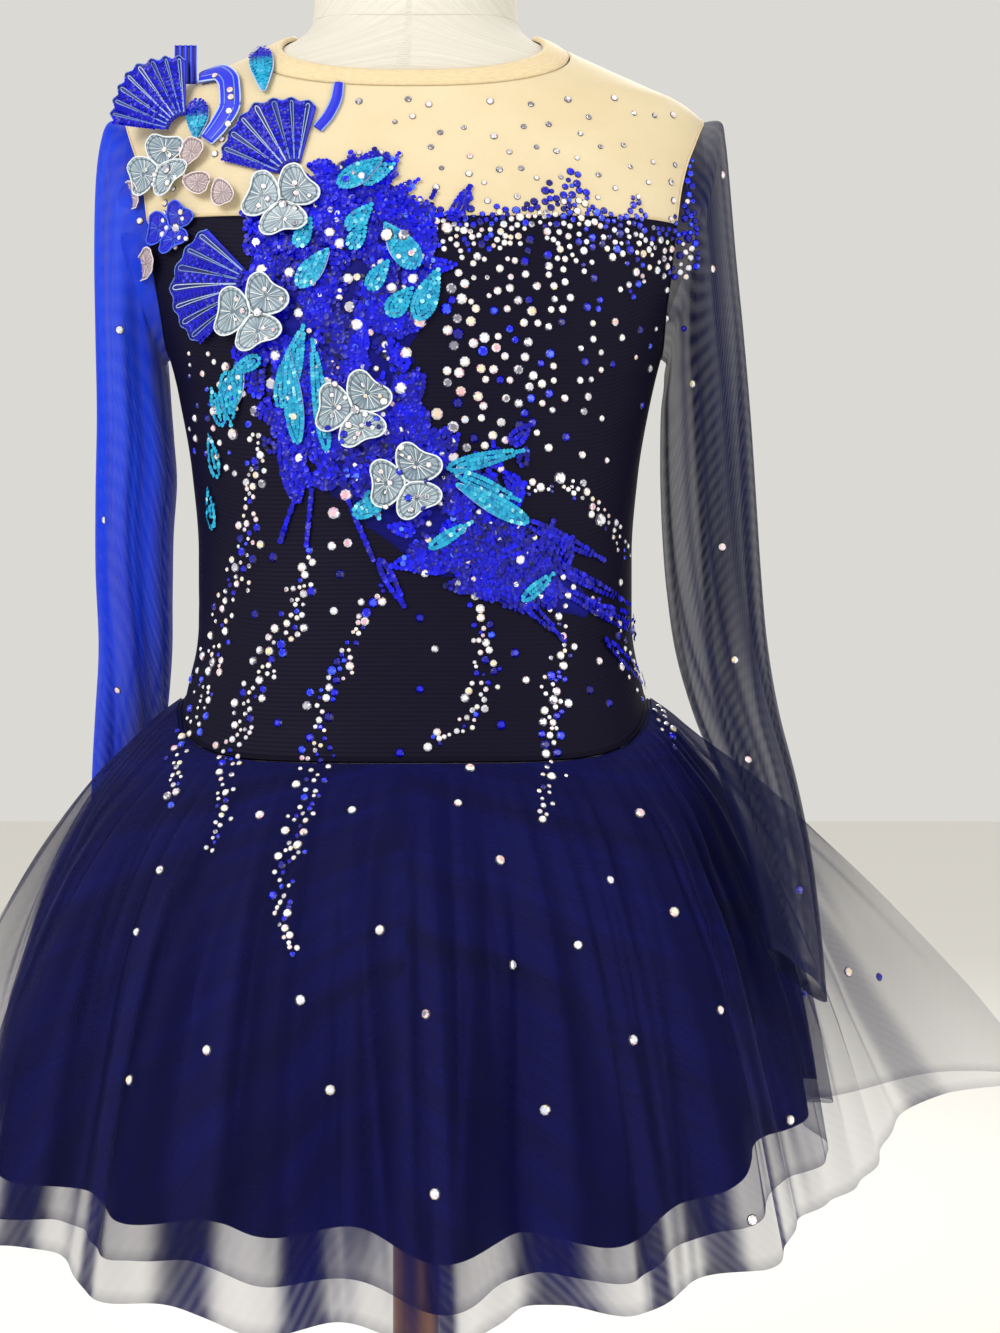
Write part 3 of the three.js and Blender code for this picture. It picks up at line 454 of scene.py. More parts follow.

# %% [markdown]
# ### Sequins, cord, lace and cut stones
# Sequins are stamped from coloured polyester film, so they are glossy and each catches the light at its own
# angle; a "tint" value kept on each sequin paints that into its colour, its darkest values as painted shade
# and its palest as a painted glint, with the film's own blue or teal between. Lace thread is matt rayon cord.
# The stones are cut lead-free glass with a foil back and a thin coating that turns pink, yellow or white, so
# a rainbow of pale tints is picked by the same value; it also differs facet by facet from grey to white as
# painted reflection, and the rim's facets are drawn nearly black.


# %% Trim finishes
def tinted_finish(name, stops, **constants):
    material, tree, shader = new_finish(name, **constants)
    tint = add_node(tree, "ShaderNodeAttribute", attribute_name="tint")
    ramp = add_node(tree, "ShaderNodeValToRGB", {"Fac": tint.outputs["Fac"]})
    ramp.color_ramp.elements[0].color = linear(stops[0][1])
    ramp.color_ramp.elements[1].color = linear(stops[-1][1])
    ramp.color_ramp.elements[1].position = stops[-1][0]
    for position, colour in stops[1:-1]:
        ramp.color_ramp.elements.new(position).color = linear(colour)
    tree.links.new(ramp.outputs["Color"], shader.inputs["Base Color"])
    return material


# The sequin ramps: the darkest values are painted shade and the palest a painted glint; the blues and teals
# between are the film's own.
royal_sequin = tinted_finish(
    "royal_blue_sequin_film",
    [(0, "#010130"), (0.35, "#0202a0"), (0.7, "#0203dc"), (0.95, "#0614ff"), (1, "#4f7cff")],
    Roughness=0.34, Specular_IOR_Level=0.3,
)
teal_sequin = tinted_finish(
    "teal_sequin_film",
    [(0, "#060cb8"), (0.16, "#0742a8"), (0.3, "#0a7fb0"), (0.6, "#129fcc"), (0.9, "#2ab4d4"), (1, "#9fe2f2")],
    Roughness=0.34, Specular_IOR_Level=0.35,
)
pale_cord = tinted_finish(
    "pale_blue_lace_cord", [(0, "#3d5cc4"), (0.5, "#7f9fdc"), (1, "#c3d4f2")], Roughness=0.55,
    Sheen_Weight=0.1
)
ice_lace = tinted_finish(
    "ice_silver_lace", [(0, "#33434f"), (0.35, "#64798a"), (0.7, "#b2c2cb"), (1, "#f4f8f9")],
    Roughness=0.38, Specular_IOR_Level=0.6,
)
blush_lace = tinted_finish(
    "blush_silver_lace", [(0, "#4f4450"), (0.45, "#9c8a8e"), (1, "#efe2e2")], Roughness=0.45
)
# Across facets these ramps paint reflection, from dark to white; the pink, yellow and pale blue of the aurora
# one are its coating's.
aurora_glass = tinted_finish(
    "cut_glass_stone_aurora_foil",
    [(0, "#141024"), (0.1, "#474460"), (0.22, "#b9b8c6"), (0.36, "#f4f4fa"), (0.52, "#ffffff"),
     (0.63, "#f0a8c6"), (0.7, "#f6e9a8"), (0.8, "#ffffff"), (0.92, "#cfe2ff"), (1, "#ffffff")],
    Roughness=0.08, Metallic=0.25, Specular_IOR_Level=0.9, Coat_Weight=1.0, Coat_Roughness=0.03,
)
royal_glass = tinted_finish(
    "cut_glass_stone_royal", [(0, "#010128"), (0.5, "#0303a8"), (0.85, "#0509f0"), (1, "#3f62ff")],
    Roughness=0.16, Specular_IOR_Level=0.5, Coat_Weight=0.25, Coat_Roughness=0.05,
)
print("trim finishes ready")

# %% [markdown]
# ## The stand
# The base and pole are turned on a lathe, so their shape is one outline spun round. The outline is
# the solid's, with small rounded edges that a turner would sand on.


# %% Turned pieces
def capped_piece(name, rings, low, high, material, **rest):
    """A tube of rings, closed at each end by faces round one middle point."""
    rows, count = rings.shape[:2]
    foot, head, last = rows * count, rows * count + 1, (rows - 1) * count
    faces = grid_faces(rows, count, True)
    for j in range(count):
        k = (j + 1) % count
        faces += [[foot, k, j], [head, last + j, last + k]]
    points = np.concatenate([rings.reshape(-1, 3), [low, high]])
    return finish_piece(name, points, faces, material, replaces=[name], **rest)


def turned_piece(name, outline, material, slot, count=96):
    turn = np.linspace(0, 2 * math.pi, count, endpoint=False)
    rings = [np.stack([r * np.cos(turn), r * np.sin(turn), np.full(count, float(h))], -1) for r, h in outline]
    low, high = [0, 0, outline[0][1]], [0, 0, outline[-1][1]]
    return capped_piece(name, np.array(rings), low, high, material, slot=slot)


BASE = [
    (147, 0), (149, 0.8), (150, 3), (150, 8), (149.2, 9.4), (144, 13), (120, 15.2), (82.5, 18), (50, 21.4),
    (30, 24), (26, 25.6), (24, 28), (23.4, 34), (20.6, 56), (19.6, 57.7), (18, 58),
]
turned_piece("stand_base", BASE, beech, "wood")
turned_piece("stand_pole", [(12.6, 58.3), (13, 59), (13, 412.6), (12.6, 413.2)], beech, "wood")
FLANGE = [
    (17, 413.7), (18, 414.4), (20, 427.6), (24, 429.4), (51, 432.6), (52, 433.4), (52, 439.2), (51.4, 439.7),
]
turned_piece("stand_flange", FLANGE, steel, "steel")

# %% [markdown]
# ## The dress form
# The real one is papier mache or foam under a stretched linen cover, sewn in panels. Only its neck and
# flat underside show, with the seam that runs round the neck's root, so it is one smooth skin with a
# thin cord for that seam.


# %% Form and its neck seam
def cloth_of_capped(rings):
    return {"cloth": np.concatenate([cloth_mm(rings).reshape(-1, 3), np.zeros((2, 3))])}


heights = np.concatenate([[440.0], np.linspace(443, 1024, 96), [1027.5, 1030.0]])
turn = np.linspace(0, 2 * math.pi, 128, endpoint=False)
form_grid = over_form(turn[None, :], heights[:, None], np.zeros((len(heights), len(turn))))
form = capped_piece(
    "dress_form", form_grid, [0, 0, 440], [0, 0, 1031.5], linen, slot="linen",
    values=cloth_of_capped(form_grid),
)
print("form height", round(form.dimensions.z * 1000), "mm")


class Bundle:
    """Many small things collected into one joined mesh, each with its own tint."""

    def __init__(self):
        self.points, self.faces, self.tints, self.total = [], [], [], 0

    def add(self, points, faces, tint):
        points = np.asarray(points, float).reshape(-1, 3)
        self.faces += [[v + self.total for v in face] for face in faces]
        self.points.append(points)
        self.tints.append(np.broadcast_to(tint, (len(points),)))
        self.total += len(points)

    def add_tube(self, path, radius, tint, sides=6, closed=False):
        """A cord of that radius along a path of points."""
        path = np.asarray(path, float)
        rows = len(path)
        run = np.roll(path, -1, 0) - np.roll(path, 1, 0) if closed else np.gradient(path, axis=0)
        run /= np.linalg.norm(run, axis=1, keepdims=True) + 1e-9
        side = np.cross(run, [0.13, 0.21, 0.97])
        side /= np.linalg.norm(side, axis=1, keepdims=True) + 1e-9
        lift = np.cross(side, run)
        turn = np.linspace(0, 2 * math.pi, sides, endpoint=False)[None, :, None]
        rings = path[:, None] + (side[:, None] * np.cos(turn) + lift[:, None] * np.sin(turn)) * radius
        faces = grid_faces(rows, sides, True, flip=True)
        if closed:
            last = (rows - 1) * sides
            faces += [[last + j, j, (j + 1) % sides, last + (j + 1) % sides] for j in range(sides)]
        else:
            faces += [list(range(sides)), [(rows - 1) * sides + j for j in range(sides)][::-1]]
        self.add(rings, faces, tint)

    def piece(self, name, material, smooth=True, **rest):
        print(name, "has", len(self.faces), "faces")
        tints = {"tint": np.concatenate(self.tints)}
        return finish_piece(
            name, np.concatenate(self.points), self.faces, material, smooth=smooth, values=tints, **rest
        )


seam_cord = Bundle()
turn = np.linspace(0, 2 * math.pi, 160, endpoint=False)
seam_height = 990 - 10 * np.cos(turn) ** 2 * np.where(np.cos(turn) > 0, 1, 0.3)
seam_cord.add_tube(over_form(turn, seam_height, np.full(160, 0.15)), 0.35, 0.0, 5, closed=True)
seam_cord.piece("form_neck_seam", linen, slot="linen")

# %% [markdown]
# ## The cut of the bodice and yoke
# A maker marks level lines on the body block, from the waist seam up to the neck. Each line has a
# height at the side, at centre front and at centre back. Where it meets the armhole it ends early, at
# the edge of an oval. The same table as the solids' gives every line between by a smooth curve.

# %% Level lines, the armhole and a panel's grid
ARM_Z, ARM_HIGH, ARM_DEEP, ARM_STEPS = 868.0, 66.0, 44.0, 10
WAIST = [  # height at the side, at centre front, at centre back, and how flat the line starts
    (608, 575, 585, 2.4), (634, 606, 612, 2.0), (662, 642, 645, 1.6), (692, 678, 680, 1.4),
    (722, 712, 712, 1.2), (752, 744, 740, 1), (779, 773, 766, 1),
]
CHEST = [  # centre front and centre back heights of the lines that end at the armhole
    (798, 786), (806, 795), (819, 804), (833, 814), (848, 825), (863, 836), (877, 858), (890, 880),
    (902, 900), (911, 916), (918, 928),
]
SHOULDER = [(941.5, 921.5, 935), (949, 925, 942), (962, 931, 955), (973, 936.5, 968)]
FIRST = len(WAIST)
EDGE = FIRST + 5
LAST = FIRST + len(CHEST) + len(SHOULDER) - 1


def arm_height(step):
    return ARM_Z - ARM_HIGH * np.cos(math.pi * step / ARM_STEPS)


steps = np.arange(LAST + 1)
sides = [row[0] for row in WAIST] + [arm_height(k) for k in range(len(CHEST))] + [row[0] for row in SHOULDER]
fronts = [row[1] for row in WAIST] + [row[0] for row in CHEST] + [row[1] for row in SHOULDER]
backs = [row[2] for row in WAIST] + [row[1] for row in CHEST] + [row[2] for row in SHOULDER]
bows = [row[3] for row in WAIST] + [1.0] * (len(CHEST) + len(SHOULDER))
side_of, front_of, back_of, bow_of = (smooth_column(steps, column) for column in (sides, fronts, backs, bows))


def level_line(t, is_back):
    """Side height, centre height, bow and how deep the end lies from the side, at line number t."""
    step = np.clip(t - FIRST, 0, ARM_STEPS)
    inside = (t > FIRST) & (t < FIRST + ARM_STEPS)
    side = np.where(inside, arm_height(step), side_of(t))
    deep = np.where(inside, ARM_DEEP * np.sin(math.pi * step / ARM_STEPS), 0)
    return side, (back_of(t) if is_back else front_of(t)), bow_of(t), deep


def level_between(side, middle, share):
    """Height on a level line, from its middle (share 0) to the side (share 1)."""
    return side + (middle - side) * np.cos(math.pi / 2 * share) ** 2


def from_middle(u):
    """0 at centre front and centre back, 1 at the sides."""
    return np.abs(np.arctan2(np.sin(u), np.abs(np.cos(u)))) / (math.pi / 2)


def panel_end(z, deep, is_back):
    depth = form_back(z) if is_back else form_front(z)
    return np.arccos(np.clip(deep / depth, 0, 1) ** (form_corner(z) / 2))


def panel_grid(lines, share, is_back, out, low_lift=0.0, dent=None):
    t = np.asarray(lines, float)[:, None]
    share = np.asarray(share, float)[None, :]
    side, middle, bow, deep = level_line(t, is_back)
    z = level_between(side, middle, np.abs(share) ** bow) + low_lift * (t == t[0])
    u = (math.pi if is_back else 0) + share * panel_end(side, deep + SEAM / 2, is_back)
    if dent is None:
        return over_form(u, z, np.broadcast_to(out, z.shape))
    flat = form_point(u, z)
    return over_form(u, z, out - dent(flat[..., 0], flat[..., 2], is_back))


print(
    "lines:", LAST + 1, "underarm at", float(arm_height(0)), "mm, shoulder point at", float(arm_height(10)),
    "mm"
)

# %% [markdown]
# ### Creases of the bodice
# The knit is pulled from the side seams and under the arms, which leaves shallow drag lines. They are listed
# one by one, uneven in length and depth, as soft troughs under a millimetre deep. The back isn't in view; it
# gets similar ones.

# %% Drag lines
DRAGS = [  # back or front, from x, z to x, z, half width, depth
    (False, -122, 632, -58, 650, 6, 0.8), (False, -118, 662, -44, 690, 5, 0.6),
    (False, -84, 590, -20, 606, 7, 0.7),
    (False, 120, 640, 62, 632, 6, 0.8), (False, 116, 676, 50, 700, 5, 0.6), (False, 30, 588, 92, 602, 6, 0.6),
    (False, -134, 792, -96, 762, 6, 0.9), (False, 136, 794, 84, 760, 7, 0.9),
    (False, 128, 760, 88, 738, 5, 0.5),
    (True, -120, 630, -40, 646, 7, 0.9), (True, 118, 655, 34, 672, 6, 0.8),
    (True, -116, 690, -52, 700, 5, 0.6),
    (True, 128, 770, 60, 742, 7, 0.9), (True, -130, 784, -70, 770, 6, 0.7), (True, 0, 600, 44, 622, 6, 0.6),
]


def drag_depth(x, z, is_back):
    depth = np.zeros_like(x)
    for back, x0, z0, x1, z1, width, deep in DRAGS:
        if back != is_back:
            continue
        run = np.array([x1 - x0, z1 - z0], float)
        share = np.clip(((x - x0) * run[0] + (z - z0) * run[1]) / run.dot(run), 0, 1)
        away = np.hypot(x - x0 - share * run[0], z - z0 - share * run[1])
        depth += deep * np.exp(-((away / width) ** 2)) * np.sin(math.pi * np.clip(share, 0.08, 0.92))
    return depth


def panel_wall(name, lines, is_back, material, slot, low_lift=0.0, share=None, **rest):
    share = np.linspace(-1, 1, 97) if share is None else share
    skins = [panel_grid(lines, share, is_back, out, low_lift, drag_depth) for out in (FACE, CLEARANCE)]
    piece = wall_piece(name, *skins, material, replaces=[name], slot=slot, **rest)
    print(name, "cloth area", round(area_m2(piece) / 2, 4), "m2")
    return piece


bodice_front = panel_wall("bodice_front", np.linspace(0, EDGE, 110), False, knit, "navy_knit")
bodice_back = panel_wall("bodice_back", np.linspace(0, EDGE, 110), True, knit, "navy_knit")

# %% [markdown]
# ### The yoke and its slit
# The nude yoke is one skin of net, drawn smooth over the shoulders. A head has to get through its
# high neck, so the back is slit from the neck down, and on a body the two edges lie together. It is
# built from the same level lines as the knit below it, so that the two meet on one seam.

# %% Yoke
yoke_front = panel_wall("yoke_front", np.linspace(EDGE, LAST, 60), False, nude, "nude_mesh", SEAM)
halves = np.concatenate([np.linspace(-1, -0.004, 49), np.linspace(0.004, 1, 49)])
lines = np.linspace(EDGE, LAST, 60)
slit_foot = int(np.searchsorted(back_of(lines), 892))
yoke_back = panel_wall("yoke_back", lines, True, nude, "nude_mesh", SEAM, share=halves, slit=(48, slit_foot))
print("slit from", round(float(back_of(lines[slit_foot]))), "mm up to the neck")

# %% [markdown]
# ### The neck binding and its button
# A cut edge of net would stretch and roll, so a folded strip is stitched over it, and a small covered
# button closes it above the slit. A bevelled curve would give a round cord. The strip is flatter, so
# it is a wall with a rounded outer side, laid along three level lines, whose ends meet at centre back.

# %% Neck binding and its button
BAND = [(973.6, 937, 968.6), (976.8, 941.5, 973), (980, 946, 977.5)]  # side, centre front, centre back
band_share = np.linspace(0, 2, 9)
band_side, band_front, band_back = (smooth_column([0, 1, 2], [row[i] for row in BAND]) for i in range(3))


def band_line(t, u, out):
    middle = np.where(np.cos(u) < 0, band_back(t), band_front(t))
    z = level_between(band_side(t), middle, from_middle(u))
    return over_form(u, z, out + 0 * z)


def band_grid(out):
    return band_line(band_share[:, None], np.linspace(-math.pi + 0.012, math.pi - 0.012, 161)[None, :], out)


bulge = (FACE + 0.1 + 0.75 * np.sin(math.pi * band_share / 2) ** 0.6)[:, None]
neck_band = wall_piece(
    "neck_band", band_grid(bulge), band_grid(0.8 + 0 * bulge), binding, replaces=["neck_band"],
    slot="nude_mesh"
)
print("neck band area", area_m2(neck_band) / 2)
stitches = Bundle()
for at in (0.35, 1.65):
    line = band_line(at, np.linspace(-math.pi + 0.03, math.pi - 0.03, 330), FACE + 0.55)
    for k in range(0, 326, 5):
        stitches.add_tube(line[k : k + 4], 0.16, 0.0, 4)
stitches.piece("neck_band_stitches", binding, slot="nude_mesh")

BUTTON_X, BUTTON_Z = 4.6, 972.6  # beside the gap of the band, at its middle height
button_u = math.pi - math.asin((BUTTON_X / form_half(BUTTON_Z)) ** (form_corner(BUTTON_Z) / 2))
button_at = over_form(button_u, BUTTON_Z, FACE + 1.05)
button_out = Vector(form_normal(math.pi - 0.06, BUTTON_Z))
outline = [
    (0.3, 0.2), (3.2, 0), (3.8, 0.5), (4.0, 1.0), (3.8, 1.5), (3.2, 1.95), (2.2, 2.2), (1.0, 2.3),
    (0.2, 2.32),
]
turn = np.linspace(0, 2 * math.pi, 32, endpoint=False)
facing = np.array(Vector((0, 0, 1)).rotation_difference(button_out).to_matrix())
rings = np.array([[[r * math.cos(a), r * math.sin(a), h] for a in turn] for r, h in outline])
rings = rings @ facing.T + button_at
capped_piece(
    "neck_button", rings, rings[0].mean(0), rings[-1].mean(0), binding, slot="nude_mesh",
    values=cloth_of_capped(rings),
)

# %% [markdown]
# ### Seams
# Bodice, yoke and sleeves are joined by overlocked seams, which show as thin ridges along the waist,
# the sides, the shoulders and the armholes. Each is a fine cord that follows the edge of its panel.

# %% Seam ridges
def panel_edge(t, share, is_back, out=FACE + 0.1):
    t = np.atleast_1d(np.asarray(t, float))
    share = np.broadcast_to(share, t.shape) if np.ndim(share) == 0 else share
    return np.array([panel_grid([a], [b], is_back, out)[0, 0] for a, b in zip(t, share)])


navy_seams, nude_seams = Bundle(), Bundle()
for is_back in (False, True):
    across = np.linspace(-1, 1, 90)
    navy_seams.add_tube(panel_edge(np.full(90, 0.03), across, is_back), 0.55, 0.0)
    nude_seams.add_tube(panel_edge(np.full(90, EDGE + 0.05), across, is_back), 0.35, 0.0)
    for end in (-1, 1):
        navy_seams.add_tube(panel_edge(np.linspace(FIRST, EDGE, 40), end, is_back), 0.5, 0.0)
        nude_seams.add_tube(
            panel_edge(np.linspace(EDGE + 0.1, FIRST + ARM_STEPS, 30), end, is_back), 0.5, 0.0
        )
for end in (-1, 1):
    navy_seams.add_tube(panel_edge(np.linspace(0, FIRST, 60), end, False, FACE), 0.4, 0.0)
    nude_seams.add_tube(panel_edge(np.linspace(FIRST + ARM_STEPS, LAST, 30), end, False, FACE), 0.4, 0.0)
navy_seams.piece("seams_navy", knit, slot="navy_knit")
nude_seams.piece("seams_nude", binding, slot="nude_mesh")

# %% [markdown]
# ## The sleeves
# Each sleeve is one piece of sheer mesh sewn into a tube. With no arm inside it hangs limp and folds
# lengthwise, so where its front and back lie together it looks denser. Rings down the sleeve, taken
# from the same table as the solids, carry it from the armhole to the wrist; lengthwise troughs of
# uneven depth are pressed into them. The wearer's left one lies over the skirt, the right one behind.

# %% Rings of the sleeves
# Both sleeves: height, half depth, how much higher the outer side is.
RINGS = [
    (867, 45, 68.5), (858, 44.5, 66), (842, 43, 58), (816, 41, 44), (785, 39, 30), (750, 37.5, 19),
    (712, 36, 11), (674, 34, 6), (636, 30, 3), (600, 23, 1), (565, 16, 0), (528, 13, -3), (492, 12, -9),
    (464, 11, -16),
]
# Each sleeve's own: middle across and in depth, half width, turn seen from above.
SLEEVE_LEFT = [
    (158, 0, 15, 0), (159, 0, 17, 0), (160, 0, 18.5, 0), (161, 0, 21, 0), (163, 0, 23.5, 0),
    (165, 0, 25.5, 0), (167, -1, 26.5, 0), (169.5, -3, 26.5, 2), (173, -12, 25.5, 8), (179, -33, 24, 20),
    (188, -58, 23.5, 32), (196, -77, 22.5, 38), (201, -87, 21.5, 40), (204, -93, 20.5, 40),
]
SLEEVE_RIGHT = [
    (158, 0, 15, 0), (160, 0, 18, 0), (161, 0, 20, 0), (161, 0, 21, 0), (160, 0, 21.5, 0), (159, 1, 22, 0),
    (160.5, 2, 21.5, 0), (161.5, 6, 21.5, -2), (163, 18, 21, -8), (170, 44, 21, -20), (178, 70, 21, -34),
    (184, 90, 21, -40), (188, 101, 20.5, -42), (191, 108, 20, -42),
]
MAIN_FOLDS = [(62, 20, 0.2), (128, 20, 0.16), (236, 22, 0.2), (300, 20, 0.14)]  # degrees, width, depth share
FINE_FOLDS = [  # degrees at the top, drift down the sleeve, width, depth in mm, first share, last share
    (20, 14, 5, 1.3, 0.1, 0.8), (84, -10, 5, 1.6, 0.25, 1.0), (104, 12, 4, 1.1, 0.0, 0.6),
    (150, -16, 6, 1.5, 0.3, 1.0), (196, 10, 5, 1.2, 0.05, 0.7), (214, -12, 5, 1.6, 0.4, 1.0),
    (262, 14, 5, 1.4, 0.15, 0.9), (330, -14, 6, 1.5, 0.2, 1.0),
]


def hermite_rows(grid, per_span):
    """More rows between the rows of a grid, on smooth curves."""
    tangent = np.gradient(grid, axis=0)
    made = []
    for i in range(len(grid) - 1):
        for t in np.linspace(0, 1, per_span, endpoint=False):
            a, b = (1 + 2 * t) * (1 - t) ** 2, t * (1 - t) ** 2
            c, d = t * t * (3 - 2 * t), t * t * (t - 1)
            made.append(a * grid[i] + b * tangent[i] + c * grid[i + 1] + d * tangent[i + 1])
    return np.array(made + [grid[-1]])


# Lengthwise bands where front and back lie together: degrees at the top, drift, width, extra cover.
LEFT_BANDS = [
    (112, 4, 22, 0.4), (252, -4, 24, 0.34), (2, 0, 7, 0.3), (358, 0, 7, 0.3), (180, 0, 7, 0.34),
    (44, 20, 5, 0.25),
]
RIGHT_BANDS = [(70, 12, 16, 0.14), (150, -8, 10, 0.12), (2, 0, 7, 0.15), (358, 0, 7, 0.15), (180, 0, 8, 0.15)]


def sleeve_piece(name, own, side, material, slot, thin, thick, bands):
    """A tube of mesh from the armhole down; thin and thick are its share of cover, bands add to it."""
    count = 145
    psi = np.linspace(0, 2 * math.pi, count)
    z = ARM_Z - (ARM_HIGH - 0.8) * np.cos(psi)
    y = -(ARM_DEEP - 0.8) * np.sin(psi)
    end_front = panel_end(z, np.maximum(np.abs(y), 0.001), False)
    end_back = math.pi - panel_end(z, np.maximum(np.abs(y), 0.001), True)
    rows = [over_form(np.where(y > 0, end_back, end_front), z, np.full(count, CLEARANCE + 0.3))]
    turned = np.degrees(psi)
    for k, ((cz, deep, rise), (cx, cy, across, turn)) in enumerate(zip(RINGS, own)):
        dents = sum(d * np.exp(-(((turned - at) / w) ** 2)) for at, w, d in MAIN_FOLDS)
        fold = 1 - dents * min(1, 3 * (k + 1) / 14)
        a, b, t = -np.cos(psi) * across * fold, -np.sin(psi) * deep * fold, math.radians(turn)
        spoke = [cx + a * math.cos(t) - b * math.sin(t), cy + a * math.sin(t) + b * math.cos(t)]
        rows.append(np.stack(spoke + [cz - np.cos(psi) * rise * fold], -1))
    grid = hermite_rows(np.array(rows), 11)
    share = np.linspace(0, 1, len(grid))[:, None]
    inward = grid.mean(axis=1, keepdims=True) - grid
    inward /= np.linalg.norm(inward, axis=-1, keepdims=True)
    ease = np.clip(share * 9, 0, 1)
    press = np.zeros(grid.shape[:2])
    for at, drift, width, depth, first, last in FINE_FOLDS:
        line = at + drift * share + 3 * np.sin(9 * share + at)
        window = np.clip((share - first) * 8, 0, 1) * np.clip((last - share) * 8, 0, 1)
        press += depth * window * np.exp(-(((turned[None, :] - line) / width) ** 2))
    grid = grid + inward * (press * ease)[..., None]
    grid[..., 0] *= side
    cover = thin + (thick - thin) * np.clip(press / 1.5, 0, 1) + 0.05 * np.sin(3 * psi)[None, :]
    for at, drift, width, extra in bands:
        line = at + drift * share + 2.5 * np.sin(7 * share + at)
        cover = cover + extra * np.exp(-(((turned[None, :] - line) / width) ** 2))
    cover = np.clip(cover, 0, 0.97)
    cover = np.where(share > 0.985, thick, cover)
    piece = sheet_piece(name, grid, material, values={"cover": cover}, replaces=[name], slot=slot)
    print(name, "area", round(area_m2(piece), 4), "m2")
    return piece


sleeve_left = sleeve_piece("sleeve_left", SLEEVE_LEFT, 1, navy_mesh, "navy_mesh", 0.56, 0.9, LEFT_BANDS)
sleeve_right = sleeve_piece(
    "sleeve_right", SLEEVE_RIGHT, -1, royal_mesh, "blue_mesh", 0.84, 0.96, RIGHT_BANDS
)

# %% [markdown]
# ## The skirt
# An opaque knit skirt carries two layers of tulle, gathered into the dropped waist seam. Close to the
# seam the gathers are fine; further down they merge into broad uneven flutes, and two single folds of
# the top layer stand out at the sides. The broad flutes are the solids'; the fine gathers are added
# here as smaller waves that widen towards the hem. Where the net doubles over in a gather, its cover
# rises, which gives the long dark streaks.

# %% Shape of a skirt layer
FLARE = [
    (0, 0), (8, 10), (22, 23), (45, 42), (80, 61), (120, 75), (170, 87), (220, 96), (270, 104), (330, 112),
]
FULL_DROP = FLARE[-1][0]
STANDING = [(1.78, 0.30, 150), (-1.72, 0.22, 62)]  # place round the waist, width, reach
PRESSED = [(1.16, 0.42, 15), (-2.02, 0.42, 15)]  # place, width, depth, where the sleeves lie
flare_of = smooth_column([row[0] for row in FLARE], [row[1] for row in FLARE])


def round_bump(u, at, width):
    away = (u - at + math.pi) % (2 * math.pi) - math.pi
    return np.exp(-((away / width) ** 2))


def flutes(u):
    narrow = np.sin(16 * u + 1.1 * np.sin(3 * u))
    wide = np.sin(11 * u + 0.8 + 0.9 * np.sin(2 * u))
    return 0.62 * narrow + 0.38 * wide


def gathers(u, share, seed):
    """Fine gathers: many near the seam, fewer and deeper below, each drifting a little sideways."""
    rng = np.random.default_rng(seed)
    total = np.zeros(np.broadcast(u, share).shape)
    for count, low, high in ((96, 0.0, 0.35), (61, 0.1, 0.75), (43, 0.3, 1.3)):
        drift = 0.05 * rng.normal() * share + 0.5 * np.sin(5 * u + rng.uniform(0, 6)) * share / count * 6
        phase = rng.uniform(0, 6) + 1.6 * np.sin(7 * u + rng.uniform(0, 6))
        window = np.clip((share - low) * 5 + 0.4, 0, 1) * np.clip((high - share) * 2.5, 0, 1)
        total += window * np.sin(count * (u + drift) + phase) * 40 / count
    return total


def seam_line(u, out):
    """The waist seam at each column: straight between the 32 columns of the panels."""
    step = math.pi / 16
    k = np.floor(u / step + 1e-6)

    def corner(place):
        side, _, bow, _ = level_line(np.zeros_like(place), False)
        middle = np.where(np.cos(place) < -1e-6, WAIST[0][2], WAIST[0][1])
        z = level_between(side, middle, from_middle(place) ** bow)
        return over_form(place, z, np.full(place.shape, out))

    share = np.clip(u / step - k, 0, 1)[:, None]
    return corner(k * step) * (1 - share) + corner((k + 1) * step) * share


def skirt_grid(level, length, top_layer, rows, count, seed, fine, sway=0.0):
    u = np.linspace(0, 2 * math.pi, count)
    seam = seam_line(u, CLEARANCE)
    lift = sum(0.15 * reach * round_bump(u, at, width * 1.4) for at, width, reach in STANDING)
    uneven = 4 * np.sin(5 * u + level) + 4 * flutes(u)
    hem = length - 14 * np.sin(u) ** 2 + uneven - (lift if top_layer else 0)
    share = np.linspace(0, 1, rows)[:, None] ** 1.15
    drop = share * hem[None, :]
    squash = 1 - 0.1 * np.cos(u) ** 2
    grown = np.minimum(1, drop / 170) ** 1.2
    stand = level * (2 + 8 * drop / FULL_DROP) + flare_of(drop) * squash + 15 * grown * flutes(u)[None, :]
    for at, width, depth in PRESSED:
        stand -= depth * np.minimum(1, drop / 70) * round_bump(u, at, width)[None, :]
    if top_layer:
        for at, width, reach in STANDING:
            stand += reach * (drop / length) ** 1.1 * round_bump(u, at, width)[None, :]
    fold = gathers(u[None, :], share, seed)
    swing = np.minimum(1, drop / 12) * fine
    stand += swing * fold + 1.0
    level_out = np.stack([np.sin(u), -np.cos(u), np.zeros(count)], -1)
    sideways = np.stack([np.cos(u), np.sin(u), np.zeros(count)], -1)
    grid = seam[None] + level_out[None] * stand[..., None]
    beat = np.sin(16 * u + 1.1 * np.sin(3 * u) + 1.4)
    slide = sway * grown * beat[None, :] + 0.5 * swing * np.roll(fold, 3, axis=1)
    grid = grid + sideways[None] * slide[..., None]
    grid[..., 2] = seam[None, :, 2] - SEAM - drop
    return grid, u, share, fold


# %% [markdown]
# ### Laying the three layers
# Cover is highest at the seam, where the net is gathered three to one, and lowest in the standing
# folds, which are a single thickness. Long streaks come from the troughs and crests of the gathers.

# %% Skirt and tulle
base_grid, u, share, fold = skirt_grid(0, 228, False, 40, 721, 11, 0.5)
skirt_base = sheet_piece("skirt_base", base_grid, satin, replaces=["skirt_base"], slot="navy_knit")
print("skirt_base area", round(area_m2(skirt_base), 3))


